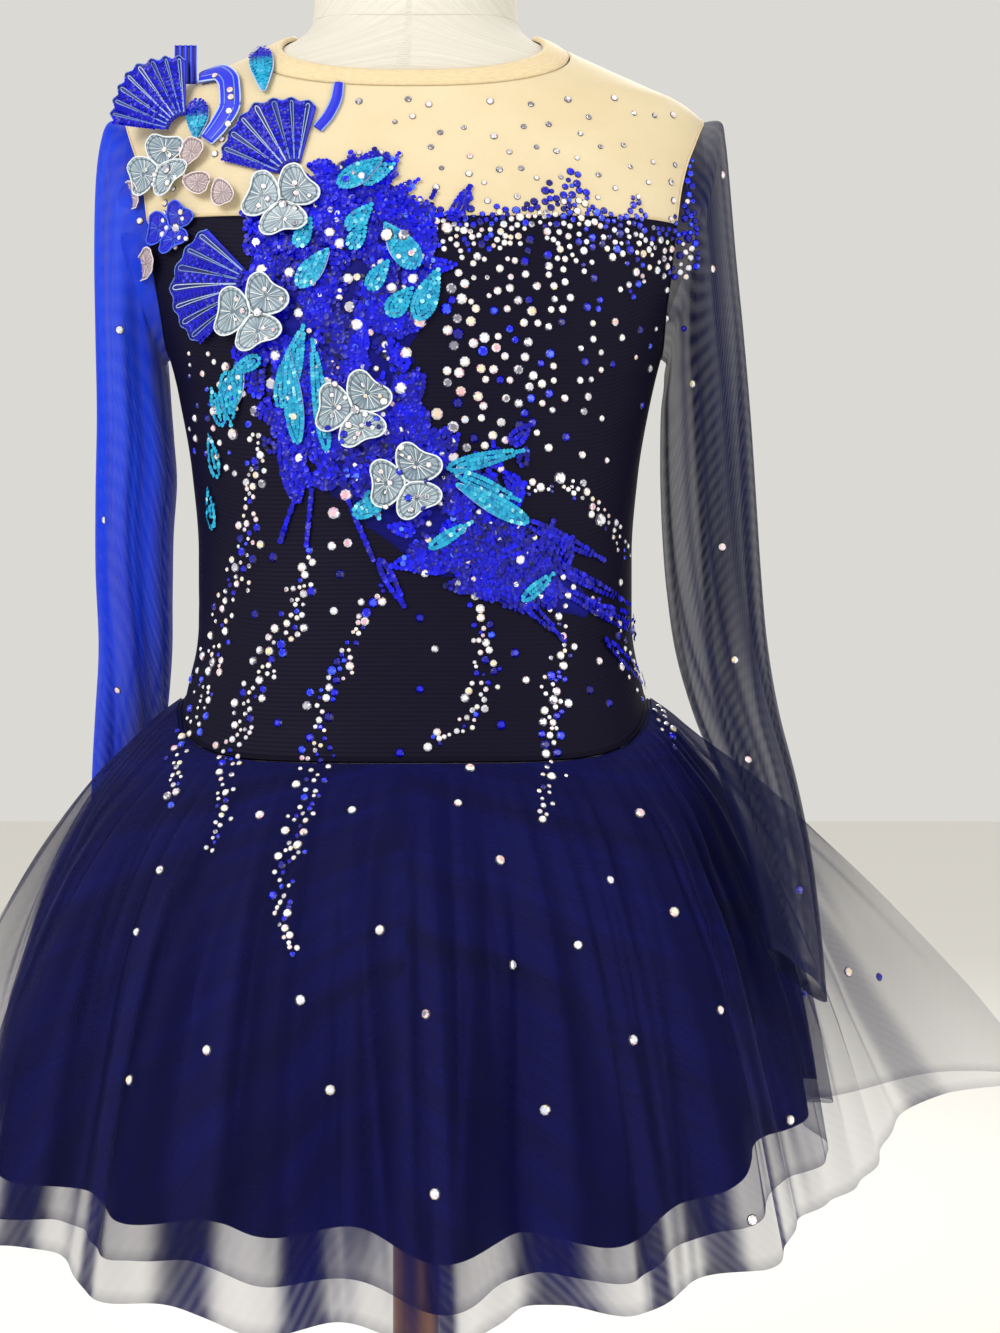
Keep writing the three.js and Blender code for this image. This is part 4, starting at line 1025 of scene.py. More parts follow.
def streaks(u, share, seed, count):
    """Narrow lines of doubled net that start at different drops and run down with a slight lean."""
    rng = np.random.default_rng(seed)
    total = np.zeros(np.broadcast(u, share).shape)
    for _ in range(count):
        at, lean = rng.uniform(0, 2 * math.pi), rng.normal(0, 0.05)
        width, first, last = rng.uniform(0.006, 0.03), rng.uniform(-0.1, 0.35), rng.uniform(0.5, 1.2)
        window = np.clip((share - first) * 6, 0, 1) * np.clip((last - share) * 4, 0, 1)
        away = (u - at - lean * share + math.pi) % (2 * math.pi) - math.pi
        total = np.maximum(total, rng.uniform(0.4, 1.0) * window * np.exp(-((away / width) ** 2)))
    return total


# Where several gathers hang together down to the hem: place round the waist, half width.
BUNDLES = [
    (-0.46, 0.06), (-0.2, 0.045), (0.04, 0.02), (0.27, 0.065), (0.47, 0.03), (-0.68, 0.04), (0.66, 0.05),
    (-0.95, 0.05), (0.9, 0.03), (2.3, 0.05), (-2.5, 0.05), (3.0, 0.04), (1.5, 0.03), (-1.4, 0.03),
]


def tulle_piece(name, level, length, top_layer, seed, thin, thick, fine, sway):
    grid, u, share, fold = skirt_grid(level, length, top_layer, 46, 1201, seed, fine, sway)
    lines = streaks(u[None, :], share, seed + 5, 130)
    for at, width in BUNDLES:
        away = (u[None, :] - at - 0.02 * level * share + math.pi) % (2 * math.pi) - math.pi
        lines = np.maximum(lines, np.clip(share * 3, 0, 1) * np.exp(-((away / width) ** 4)))
    cover = thin + (0.95 - thin) * np.exp(-share * 3.2) + (thick - thin) * lines
    cover += 0.12 * np.clip(fold, -1, 1) * (1 - 0.6 * share)
    single = sum(round_bump(u, at, width * 1.3) for at, width, _ in STANDING)[None, :]
    if top_layer:
        cover *= 1 - 0.62 * np.minimum(1, single) * np.clip(share * 1.8, 0, 1)
    cover = np.where(share > 0.994, np.minimum(cover + 0.22, 0.95), cover)
    piece = sheet_piece(
        name, grid, navy_tulle, values={"cover": np.clip(cover, 0, 0.96)}, replaces=[name], slot="navy_tulle"
    )
    print(name, "area", round(area_m2(piece), 3), "m2, mean cover", round(float(cover.mean()), 2))
    return piece


tulle_under = tulle_piece("tulle_under", 1, 246, False, 21, 0.38, 0.95, 1.6, 2.0)
tulle_top = tulle_piece("tulle_top", 2, 262, True, 34, 0.32, 0.93, 2.0, 2.5)

# %% [markdown]
# ## Appliques on the front
# The trimming is guipure lace, cut apart into single motifs and sewn on: a spray of royal sequins from
# the neckline to the left waist, teal leaves, three pleated fans, five silver flowers and a small dark
# beaded one. Each is laid over the form by its place across and up, so it follows the body.

# %% Places on the front, sequins and cords
LACE_WALL = 1.2


def seat_out(seat):
    return FACE + SEAM + seat * (LACE_WALL + SEAM)


def front_normal(x, z):
    share = np.minimum(0.999, np.abs(x) / form_half(z))
    return form_normal(np.sign(x) * np.arcsin(share ** (form_corner(z) / 2)), z)


def front_place(px, py, out=FACE):
    """Across and up, in millimetres, where a pixel of the view falls on the front of the dress."""
    px, py, deep = np.asarray(px, float), np.asarray(py, float), -80.0
    for _ in range(5):
        nearer = (deep - EYE[1]) / -EYE[1]
        x = EYE[0] + (px - FRAME_PX[0] / 2) * PIXEL_MM * nearer
        z = EYE[2] + (FRAME_PX[1] / 2 - py) * PIXEL_MM * nearer
        deep = over_front(x, z, out)[..., 1]
    return x, z


DISC_SIDES, DISC_SAG, DISC_TILT = 8, 0.12, 0.2  # sag as a share of the radius, tilt in radians


def add_discs(bundle, centres, normals, radii, tints, seed):
    """Cupped round discs, one for each centre, each tilted a little its own way."""
    rng = np.random.default_rng(seed)
    centres, normals = np.reshape(centres, (-1, 3)), np.reshape(normals, (-1, 3))
    count = len(centres)
    normals = normals + rng.normal(0, DISC_TILT, normals.shape)
    normals /= np.linalg.norm(normals, axis=1, keepdims=True)
    side = np.cross(normals, [0.3, 0.1, 0.95])
    side /= np.linalg.norm(side, axis=1, keepdims=True)
    up = np.cross(normals, side)
    turn = np.linspace(0, 2 * math.pi, DISC_SIDES, endpoint=False) + rng.uniform(0, 1, (count, 1))
    radii = np.broadcast_to(radii, (count,))[:, None, None]
    ring = side[:, None] * np.cos(turn)[..., None] + up[:, None] * np.sin(turn)[..., None]
    rim = centres[:, None] + ring * radii
    middle = centres[:, None] - normals[:, None] * radii * DISC_SAG
    points = np.concatenate([middle, rim], axis=1)
    faces = []
    for start in range(0, count * (DISC_SIDES + 1), DISC_SIDES + 1):
        faces += [[start, start + 1 + j, start + 1 + (j + 1) % DISC_SIDES] for j in range(DISC_SIDES)]
    bundle.add(points, faces, np.repeat(np.broadcast_to(tints, (count,)), DISC_SIDES + 1))


def sew_on(bundle, places, high, radii, tints, seed):
    """Sequins flat on the front, at places given across and up."""
    x, z = places[:, 0], places[:, 1]
    add_discs(bundle, over_front(x, z, high), front_normal(x, z), radii, tints, seed)


def leaf_cells(x0, z0, x1, z1, half, pitch):
    """Places inside a leaf, in rows across it, for the sequins that fill it."""
    length = math.hypot(x1 - x0, z1 - z0)
    run = np.array([x1 - x0, z1 - z0]) / length
    places = []
    rows = max(3, round(length / (0.8 * pitch)))
    for i in range(rows + 1):
        t = i / rows
        wide = half * math.sin(math.pi * min(1, t * 0.94 + 0.03) ** 0.75)
        count = max(1, int(2 * wide / (0.9 * pitch)) + 1)
        for j in range(count):
            s = 0 if count == 1 else (2 * j / (count - 1) - 1) * wide
            along = t * length - 0.35 * abs(s)
            places.append((x0 + run[0] * along - run[1] * s, z0 + run[1] * along + run[0] * s))
    return np.array(places)


def pixel_leaf(x0, y0, x1, y1, half, pitch):
    """The same for a leaf whose root and tip are pixels of the view."""
    (ax, az), (bx, bz) = front_place(x0, y0), front_place(x1, y1)
    return leaf_cells(float(ax), float(az), float(bx), float(bz), half, pitch)


print("the neckline's middle falls at", [round(float(v)) for v in front_place(475, 215)], "mm")

# %% [markdown]
# ### The royal lace spray
# A bought applique sweeps from the neckline to the waist. Its ground is navy net with a cut, scalloped
# edge. A picture with transparent parts could stand for it. Here it is a single sheet laid on the
# knit, so that its edge stays sharp from near by: a short table gives its middle line and its reach
# to both sides, and waves on that reach are the scallops.

# %% Lace ground
LACE_SPRAY = [  # middle across and up, reach to the wearer's right and to the left
    (-16, 884, 22, 22), (-28, 862, 38, 44), (-34, 838, 52, 50), (-34, 812, 48, 46), (-32, 786, 40, 36),
    (-24, 758, 36, 32), (-8, 732, 34, 28), (16, 710, 32, 24), (44, 690, 26, 20), (72, 671, 16, 14),
    (94, 656, 5, 5),
]
lace_step = np.arange(len(LACE_SPRAY))
lace_x, lace_z, lace_low, lace_high = (smooth_column(lace_step, column) for column in zip(*LACE_SPRAY))


def lace_place(t, side):
    t, side = np.broadcast_arrays(np.asarray(t, float), np.asarray(side, float))
    run = np.stack([lace_x(t + 0.3) - lace_x(t - 0.3), lace_z(t + 0.3) - lace_z(t - 0.3)], -1)
    run /= np.linalg.norm(run, axis=-1, keepdims=True)
    reach = np.where(side < 0, lace_low(t), lace_high(t)) * side
    return lace_x(t) - run[..., 1] * reach, lace_z(t) + run[..., 0] * reach


t = np.linspace(0, 10, 150)[:, None]
side = np.linspace(-1, 1, 41)[None, :]
scallop = 1 - 0.1 * np.abs(np.sin(math.pi * 1.6 * t + 0.6 * side)) - 0.04 * np.sin(7.3 * t)
x, z = lace_place(t, side * scallop)
ground = over_front(x, z, seat_out(0) + 0.2 + 0.15 * np.sin(2.1 * x) * np.sin(1.9 * z))
cover = 0.94 - 0.4 * np.abs(side) ** 4 + 0 * t
royal_lace = net_finish("navy_guipure_ground", "#02022c", "#0509a0", 3.0, "#3040e0", 0.6)
lace = sheet_piece(
    "lace_spray", ground, royal_lace, values={"cover": cover}, replaces=["lace_spray"], slot="royal_sequin"
)
print("lace ground", round(area_m2(lace), 4), "m2")

# %% [markdown]
# ### Sprigs and rosettes of sequins
# On the lace sit leaf-shaped sprigs and small rosettes, filled with 3 mm cup sequins, and a few tails
# run out beyond the ground. A plain scatter over the lace would look like glitter. Machines sew
# sequins in rows that fill a leaf, and the leaves point along the sweep, so these are laid the same way.

# %% Sequin sprigs and rosettes on the lace
royal_sequins = Bundle()
rng = np.random.default_rng(7)
centres, tints = [], []


def sprig(x, z, heading, length, half, tone):
    cells = leaf_cells(x, z, x + length * math.cos(heading), z + length * math.sin(heading), half, 2.5)
    centres.append(cells)
    tints.append(np.clip(tone + rng.normal(0, 0.14, len(cells)), 0, 1))


for _ in range(190):
    t, side = rng.uniform(0.1, 9.3), rng.uniform(-1, 1)
    x, z = (float(v) for v in lace_place(t, side * 0.93))
    ahead = np.array([float(lace_x(t + 0.4) - lace_x(t - 0.4)), float(lace_z(t + 0.4) - lace_z(t - 0.4))])
    heading = math.atan2(-ahead[1], -ahead[0]) + rng.normal(0, 0.7) - 0.5 * side
    sprig(x, z, heading, rng.uniform(10, 21), rng.uniform(2.2, 4.4), rng.uniform(0.25, 0.8))
PATCHES = [
    (250, 215, 312, 292, 26), (272, 400, 326, 500, 24), (336, 172, 392, 200, 12), (240, 350, 276, 420, 9),
    (275, 310, 330, 400, 12), (430, 440, 520, 500, 10),
]
for x0, y0, x1, y1, count in PATCHES:
    for _ in range(count):
        x, z = (float(v) for v in front_place(rng.uniform(x0, x1), rng.uniform(y0, y1)))
        sprig(x, z, rng.uniform(0.6, 2.4), rng.uniform(8, 15), rng.uniform(2.2, 3.8), rng.uniform(0.25, 0.75))
TAILS = [  # root and tip as pixels of the view, half width in mm
    (300, 500, 283, 408, 5), (300, 490, 284, 541, 1), (314, 490, 309, 545, 1), (348, 497, 374, 560, 1),
    (380, 560, 404, 606, 2.2), (452, 222, 470, 188, 3), (262, 246, 280, 226, 3), (240, 300, 262, 268, 3),
    (520, 520, 598, 560, 2.6), (540, 560, 622, 604, 2.4), (560, 590, 640, 640, 2.4), (585, 606, 640, 622, 2),
    (470, 560, 520, 612, 2.6), (500, 580, 560, 640, 2.2), (440, 540, 470, 590, 2.4), (600, 640, 652, 700, 2),
]
for tail in TAILS:
    cells = pixel_leaf(*tail, 2.4)
    centres.append(cells)
    tints.append(np.clip(0.5 + rng.normal(0, 0.15, len(cells)), 0, 1))
for _ in range(78):
    x, z = (float(v) for v in lace_place(rng.uniform(0.1, 9.2), rng.uniform(-0.9, 0.9)))
    tone = rng.uniform(0.45, 0.95)
    for reach, count in ((0, 1), (2.5, 6), (4.9, 12), (6.9, 15)):
        turn = np.arange(count) * 2 * math.pi / count + tone
        far = reach * (1 + 0.12 * np.cos(5 * turn))
        centres.append(np.stack([x + far * np.cos(turn), z + far * np.sin(turn)], -1))
        tints.append(np.clip(tone - 0.05 * reach + rng.normal(0, 0.08, count), 0, 1))
places, tints = np.concatenate(centres), np.concatenate(tints)
inside = np.abs(places[:, 0]) < 130
places, tints = places[inside], tints[inside]
height = seat_out(0) + 0.8 + rng.uniform(0, 0.9, len(places))
# Each sequin's tint sets its colour and also paints its light and shade.
sew_on(royal_sequins, places, height, rng.uniform(1.25, 1.75, len(places)), tints, seed=8)
royal_sequins.piece("lace_sequins", royal_sequin, smooth=False, slot="royal_sequin")
print("sequins on the lace", len(places))

# %% [markdown]
# ### Teal leaves
# Seven larger leaves are motifs of their own, with a raised middle and a corded edge. Smaller teal
# streaks between them are only sequins, sewn straight to the lace.


# %% Ribbons and leaves
def ribbon_wall(name, sx, sz, half, seat, crown, material, slot, tint):
    """A flat piece along a spine, raised along its middle."""
    u = np.linspace(0, 1, len(sx))
    fine = np.linspace(0, 1, 40)
    sx, sz, half = (smooth_column(u, column)(fine) for column in (sx, sz, half))
    run = np.stack([np.gradient(sx), np.gradient(sz)], -1)
    run /= np.linalg.norm(run, axis=1, keepdims=True)
    w = np.linspace(-1, 1, 13)[None, :]
    x = sx[:, None] - run[:, 1:] * w * half[:, None]
    z = sz[:, None] + run[:, :1] * w * half[:, None]
    outer = over_front(x, z, seat_out(seat) + 1.0 + crown * (1 - w * w))
    inner = over_front(x, z, np.full(x.shape, seat_out(seat)))
    piece = wall_piece(name, outer, inner, material, replaces=[name], slot=slot, tint=tint(fine[:, None], w))
    return piece, outer


def leaf_wall(name, x0, z0, x1, z1, half, end, seat, material, slot, tint, crown=0.9):
    t = np.linspace(0, 1, 9)
    wide = end + (half - end) * np.sin(math.pi * t**0.75)
    return ribbon_wall(name, x0 + (x1 - x0) * t, z0 + (z1 - z0) * t, wide, seat, crown, material, slot, tint)


LEAVES = {
    "leaf_neckline": (-36, 879, -15, 893, 5.5, 1.2, 1), "leaf_chest": (4, 835, -12, 857, 7, 1.2, 1),
    "leaf_bust": (-56, 826, -42, 844, 5.5, 1.2, 1), "leaf_side": (-97, 764, -88, 788, 6, 1.2, 0),
    "leaf_spear": (-57, 745, -62, 792, 4.5, 1, 1), "leaf_waist": (60, 703, 25, 722, 4.8, 1, 1.3),
    "leaf_shoulder": (-114, 931, -114.5, 911, 6, 1.5, 0),
}
teal_sequins, edge_cords = Bundle(), Bundle()
rng = np.random.default_rng(21)
for name, (x0, z0, x1, z1, half, end, seat) in LEAVES.items():
    leaf, face = leaf_wall(
        name, x0, z0, x1, z1, half, end, seat, teal_sequin, "teal_sequin",
        lambda t, w: 0.3 + 0.2 * (1 - w * w) + 0 * t,
    )
    cells = leaf_cells(x0, z0, x1, z1, half - 0.6, 2.1)
    high = seat_out(seat) + 2.1 + rng.uniform(0, 0.5, len(cells))
    tints = np.clip(0.62 + rng.normal(0, 0.2, len(cells)), 0.25, 1)
    if name == "leaf_shoulder":
        tints *= np.clip((925 - cells[:, 1]) / 6, 0, 1)
    # Each sequin's tint sets its colour and also paints its light and shade.
    sew_on(teal_sequins, cells, high, 1.2, tints, seed=5)
    rim = np.concatenate([face[:, 0], face[::-1, -1]])
    edge_cords.add_tube(rim, 0.45, 0.75, 5, closed=True)
cells = leaf_cells(-81, 960, -78, 935, 5.6, 2.1)  # the drop at the shoulder, made below
sew_on(teal_sequins, cells, seat_out(1) + 2.3, 1.2, 0.65 * np.clip((954 - cells[:, 1]) / 5, 0, 1), seed=6)
STREAKS = [  # root and tip as pixels of the view, half width in mm
    (284, 404, 306, 326, 5.2), (329, 449, 315, 340, 3.2), (264, 358, 236, 372, 3.2), (232, 372, 238, 424, 4),
    (350, 232, 372, 208, 4.2), (352, 250, 366, 226, 3.6), (300, 248, 312, 222, 3.6),
    (370, 290, 388, 264, 3.8),
    (418, 318, 438, 272, 5.6), (390, 314, 412, 290, 4.6), (362, 184, 394, 168, 4.2), (356, 514, 392, 496, 4),
    (370, 492, 380, 518, 2.8), (448, 468, 520, 450, 3.2), (455, 472, 516, 500, 2.8),
    (430, 548, 470, 522, 2.4),
    (520, 600, 548, 574, 2.4), (228, 424, 217, 388, 3), (223, 476, 215, 434, 2.6), (219, 528, 214, 488, 2.2),
]
LACE_FROM = 230  # pixels further left lie on the knit, beside the lace
for streak in STREAKS:
    cells = pixel_leaf(*streak, 2.2)
    high = seat_out(0 if streak[0] < LACE_FROM else 1) + 0.8 + rng.uniform(0, 0.6, len(cells))
    tints = np.clip(0.62 + rng.normal(0, 0.18, len(cells)), 0.25, 1)
    # Each sequin's tint sets its colour and also paints its light and shade.
    sew_on(teal_sequins, cells, high, 1.3, tints, seed=streak[0])
teal_sequins.piece("leaf_sequins", teal_sequin, smooth=False, slot="teal_sequin")

# %% [markdown]
# ### Pleated fans
# Each fan is a strip of royal lace pleated at its root. Every pleat carries a hairpin of pale cord, out
# along one side and back along the other, and a line of small sequins between. The shoulder fan stands
# up in front of the shoulder; the other two lie on the chest.

# %% Fans
pleated = tinted_finish(
    "royal_pleated_lace", [(0, "#02023a"), (0.45, "#060bb8"), (0.8, "#0d2cf0"), (1, "#5f8cf5")], Roughness=0.5
)
FAN_FOOT, FAN_LEAN = -57.6, 0.22  # where the standing fan's root is in depth, and how it leans
# Root across and up, inner and outer reach, from and to in degrees, ribs, seat (none: it stands).
Fan = namedtuple("Fan", "x z inner outer start stop ribs seat")
FANS = {
    "fan_chest": Fan(-60, 884, 9, 50, 76, 160, 7, 0),
    "fan_side": Fan(-78, 828, 10, 50, 132, 218, 7, 0.4),
    "fan_shoulder": Fan(-122, 915, 10, 50, 92, 168, 8, None),
}


def fan_point(fan, column, reach, rise):
    """column counts ribs and pleats from the first rib; reach is the distance from the root."""
    angle = np.radians(fan.start + (fan.stop - fan.start) * column / (2 * fan.ribs))
    across, up = reach * np.cos(angle), reach * np.sin(angle)
    if fan.seat is None:
        return np.stack([fan.x + across, FAN_FOOT + FAN_LEAN * reach - rise, fan.z + up], -1)
    return over_front(fan.x + across, fan.z + up, seat_out(fan.seat) + rise)


def ribness_of(column):
    """1 on a rib, 0 in the groove between two pleats."""
    return 0.5 + 0.5 * np.cos(math.pi * column)


def fan_reach(fan, column, share):
    edge = fan.outer * (1 - 0.06 * ribness_of(column)) * (1 - 0.12 * np.abs(column / fan.ribs - 1))
    return fan.inner + (edge - fan.inner) * share


def on_pleat(fan, column, share, lift):
    """A place at that share of the way out along a column, lifted off the pleat's own height."""
    rise = lift + 1.5 * ribness_of(column) * (0.35 + 0.65 * share)
    return fan_point(fan, column, fan_reach(fan, column, share), rise)


fan_cords = Bundle()
fan_sequins = Bundle()
for name, fan in FANS.items():
    column = np.linspace(0, 2 * fan.ribs, 12 * fan.ribs + 1)[None, :]
    share = np.linspace(0, 1, 18)[:, None]
    inner = fan_point(fan, column, fan_reach(fan, column, share), 0.1 + 0 * column * share)
    # Painted shade and highlight: the tint is near black in the grooves between pleats and light on the ribs.
    tint = 0.08 + 0.42 * ribness_of(column) + 0.1 * np.sin(9 * share)
    piece = wall_piece(
        name, on_pleat(fan, column, share, 1.0), inner, pleated, replaces=[name], slot="royal_sequin",
        tint=tint
    )
    arc, deep = math.radians(fan.stop - fan.start) * fan.outer / 1000, (fan.outer - fan.inner) / 1000
    for k in range(1, 2 * fan.ribs, 2):
        along, wide = np.linspace(0.05, 0.86, 14), 0.2 + 0.06 * (k % 3)
        out_leg = [(k - wide * (0.5 + 0.5 * a), a) for a in along]
        bend = [(k + wide * math.sin(b), 0.88 + 0.06 * math.cos(b)) for b in np.linspace(-1.3, 1.3, 7)]
        back_leg = [(k + wide * (0.5 + 0.5 * a), a) for a in along[::-1]]
        line = np.array(out_leg + bend + back_leg)
        fan_cords.add_tube(on_pleat(fan, *line.T, 1.5), 0.32, 0.3 + 0.6 * ((k * 7) % 5) / 4, 5)
        for off, near in ((0.62, 0.25), (1.0, 0.12), (1.38, 0.25)):
            spots = on_pleat(fan, np.full(15, k + off), np.linspace(near, 0.97, 15), 1.4)
            out = np.array([0, -1.0, 0.2]) if fan.seat is None else front_normal(spots[:, 0], spots[:, 2])
            tones = np.clip(0.45 + 0.2 * np.sin(3.1 * np.arange(15) + k), 0, 1)
            # Each sequin's tint sets its colour and also paints its light and shade.
            add_discs(fan_sequins, spots, np.broadcast_to(out, spots.shape), 1.15, tones, seed=k + 3)
    rim = np.linspace(0, 2 * fan.ribs, 6 * fan.ribs + 1)
    fan_cords.add_tube(on_pleat(fan, rim, 1.0, 1.0), 0.35, 0.25, 5)
fan_cords.piece("fan_cords", pale_cord, slot="royal_sequin")
fan_sequins.piece("fan_sequins", royal_sequin, smooth=False, slot="royal_sequin")

# %% [markdown]
# ### Loop, tab, drop and stem at the shoulder
# Four small ribbon pieces fill the corner by the neck: a crescent loop set with stones, a ridged tab that
# stands above the shoulder, striped by painted highlight on its ridges and painted shade in its grooves, a
# teal drop and a curved stem.

# %% Small ribbon pieces
LOOP = ([-115, -105, -97, -96, -101, -108], [946, 947, 939, 928, 917, 908], [5, 5.5, 5.5, 5.5, 5, 4])
STEM = ([-49, -43, -39, -38], [912, 920, 930, 938], [2.6, 2.8, 2.8, 2.4])
loop, loop_face = ribbon_wall(
    "shoulder_loop", *LOOP, 1, 1.0, pleated, "royal_sequin", lambda t, w: 0.62 + 0.3 * np.abs(w) ** 6 + 0 * t
)
stem, stem_face = ribbon_wall(
    "shoulder_stem", *STEM, 0, 0.8, pleated, "royal_sequin", lambda t, w: 0.55 + 0.3 * np.abs(w) ** 4 + 0 * t
)
drop, drop_face = leaf_wall(
    "shoulder_drop", -81, 961, -78, 934, 6.5, 1, 1, teal_sequin, "teal_sequin",
    lambda t, w: 0.6 * np.clip(4 * t - 1, 0, 1) + 0 * w, crown=1.2,
)
TAB_X, TAB_HALF, TAB_LOW, TAB_HIGH, TAB_DEEP = -124, 6, 945, 966, -45.2
across = np.linspace(-TAB_HALF, TAB_HALF, 37)[None, :]
high = np.linspace(TAB_LOW, TAB_HIGH, 14)[:, None]
ridge = 0.45 * np.cos(across * math.pi / 1.5)
curve = 0.6 * ((high - (TAB_LOW + TAB_HIGH) / 2) / 10.5) ** 2
# The tab's tint follows its ridges: painted highlight on them, painted shade between.
tab = wall_piece(
    "shoulder_tab",
    np.stack(np.broadcast_arrays(TAB_X + across, TAB_DEEP - 1.2 + curve - ridge, high), -1),
    np.stack(np.broadcast_arrays(TAB_X + across, TAB_DEEP + curve, high), -1),
    pleated, replaces=["shoulder_tab"], slot="royal_sequin", tint=0.45 + ridge,
)
for face in (loop_face, drop_face):
    edge_cords.add_tube(np.concatenate([face[:, 0], face[::-1, -1]]), 0.45, 0.9, 5, closed=True)
for side in (0, -1):
    edge_cords.add_tube(stem_face[:, side], 0.4, 0.6, 5)
for side in (3, 9):
    edge_cords.add_tube(loop_face[1:-1, side], 0.35, 0.4, 5)
edge_cords.piece("motif_edge_cords", pale_cord, slot="royal_sequin")

# %% [markdown]
# ### Silver flowers
# Each flower is three broad petals of silver lace, notched at the tip like a heart. A petal is cupped:
# its face is worked in rays of fine cord, its edge is a thick pale cord, and small stones sit on its
# lobes. The petals lie a little over one another, as sewn ones do. The dark flower is made alike.


# %% Flowers and the small blush petals
def petal(bundle, place, angle, near, far, wide, tone, cord=0.5, lift=0.0, notch=0.15, rays=6):
    """One petal at that angle. place(a, b, rise) gives a point, a and b from the flower's middle."""
    ring = np.linspace(0, 1, 8)[:, None]
    turn = np.linspace(-math.pi, math.pi, 40, endpoint=False)[None, :]
    reach, middle = (far - near) / 2, (far + near) / 2

    def spot(k, phi, rise):
        along = middle + reach * k * np.cos(phi) - notch * far * k**2 * np.exp(-((phi / 0.42) ** 2))
        side = wide * k * np.sin(phi) * (1 + 0.3 * np.cos(phi))
        a = along * math.cos(angle) - side * math.sin(angle)
        b = along * math.sin(angle) + side * math.cos(angle)
        return place(a, b, rise)

    def cup(k, phi):
        return 1.4 + lift + 1.5 * k**2 * (0.6 + 0.4 * np.cos(phi)) + 0.25 * np.cos(9 * phi) * k**2

    points = spot(ring, turn, cup(ring, turn))
    faces = grid_faces(8, 40, True, flip=True)
    bundle.add(points, faces, (tone + 0.3 * (ring - 0.6) + 0.2 * np.cos(20 * turn) * ring).ravel())
    phi = turn[0]
    bundle.add_tube(spot(1.0, phi, cup(1.0, phi) + 0.3), cord, 0.9, 5, closed=True)
    bundle.add_tube(spot(0.86, phi, cup(0.86, phi) + 0.15), cord * 0.5, 0.25, 4, closed=True)
    for lean in np.linspace(-2.4, 2.4, 2 * rays + 1):
        t = np.linspace(0.12, 0.82, 6)
        bundle.add_tube(spot(t, lean, cup(t, lean) + 0.15), cord * 0.5, 0.85 + 0.15 * math.cos(3 * lean), 4)


FLOWERS = {  # across, up, radius, turn in degrees, seat
    "flower_shoulder": (-133, 896, 18, 75, 1.4), "flower_upper": (-67, 871, 21, 40, 1.02),
    "flower_side": (-80, 813, 20.5, 50, 2.2), "flower_middle": (-28, 761, 21, 52, 1.02),
    "flower_low": (-1, 723, 21, 62, 1.15), "flower_beaded": (-127, 863, 14, 50, 0),
}
PETAL_STEP = 120
for name, (x, z, radius, turned, seat) in FLOWERS.items():
    blossom = Bundle()

    def place(a, b, rise):
        return over_front(x + a, z + b, seat_out(seat) + rise)

    for k in range(3):
        angle = math.radians(turned + PETAL_STEP * k)
        far, tone = radius * (1.02, 0.96, 0.92)[k], 0.4 + 0.05 * k
        petal(
            blossom, place, angle, 0.04 * radius, far, 0.57 * radius, tone, 0.02 * radius + 0.1, lift=0.3 * k
        )
    dark = name == "flower_beaded"
    blossom.piece(
        name, pleated if dark else ice_lace, replaces=[name], slot="royal_sequin" if dark else "silver_lace"
    )

BLUSH = [  # middle as a pixel of the view, angle in degrees
    (197, 156, 60), (203, 186, -20), (227, 196, -70), (137, 245, 200), (157, 262, 262), (141, 197, 120),
]
blush = Bundle()
for px, py, angle in BLUSH:
    x, z = front_place(px, py)

    def place(a, b, rise):
        return over_front(x + a, z + b, seat_out(1) + 0.8 + rise)

    petal(blush, place, math.radians(angle), -8, 8, 5.6, 0.5, 0.4, notch=0.1, rays=4)
blush.piece("petals_blush", blush_lace, slot="silver_lace")

# %% [markdown]
# ## Cut stones
# Flat-backed glass stones are glued on by hand in loose streams from the lace down to the waist, in a dense
# band along the neckline and thinly over the yoke, skirt and sleeves. A stone is a low cut dome: a rim, a
# crown of 16 facets and a flat table. Each place below is where a sight line through a pixel of the view
# meets the cloth, so the stones lie on whatever is there. Each facet has its own tint, darker or lighter at
# random, which is painted reflection of the cut glass; the rim's facets are nearly black.

# %% The shape of a stone
def octagon(radius, height, turned=0.0):
    turn = np.arange(8) * math.pi / 4 + turned
    return np.stack([radius * np.cos(turn), radius * np.sin(turn), 0 * turn + height], -1)


foot, crown = octagon(1.14, 0), octagon(0.55, 0.6, math.pi / 8)
girdle = foot * [0.82, 0.82, 1] + [0, 0, 0.24]
after = {i: (i + 1) % 8 for i in range(8)}
facets = [[foot[i], foot[j], girdle[j], girdle[i]] for i, j in after.items()]
for i, j in after.items():
    facets += [[girdle[i], girdle[j], crown[i]], [crown[i], girdle[j], crown[j]]]
facets.append(list(crown))
STONE = np.concatenate([np.array(facet) for facet in facets])
OF_FACET = np.concatenate([[k] * len(facet) for k, facet in enumerate(facets)])
FACET_FACES = [np.flatnonzero(OF_FACET == k).tolist() for k in range(len(facets))]
RIM_FACETS = 8
stone_rng = np.random.default_rng(99)


def add_stone(bundle, centre, normal, size, tone):
    normal = np.asarray(normal, float) / np.linalg.norm(normal)
    side = np.cross(normal, [0.2, 0.3, 0.93])
    side /= np.linalg.norm(side)
    spin = stone_rng.uniform(0, 1)
    up = np.cross(normal, side)
    a, b = side * math.cos(spin) + up * math.sin(spin), up * math.cos(spin) - side * math.sin(spin)
    points = np.asarray(centre) + (STONE @ np.stack([a, b, normal])) * (size / 2)
    # Painted reflection: each facet's tint is drawn at random around the stone's tone, and the rim's facets
    # are set nearly black.
    shade = np.clip(tone + stone_rng.normal(0, 0.16, len(facets)), 0.14, 1)
    shade[:RIM_FACETS] = 0.03
    bundle.add(points, FACET_FACES, shade[OF_FACET])


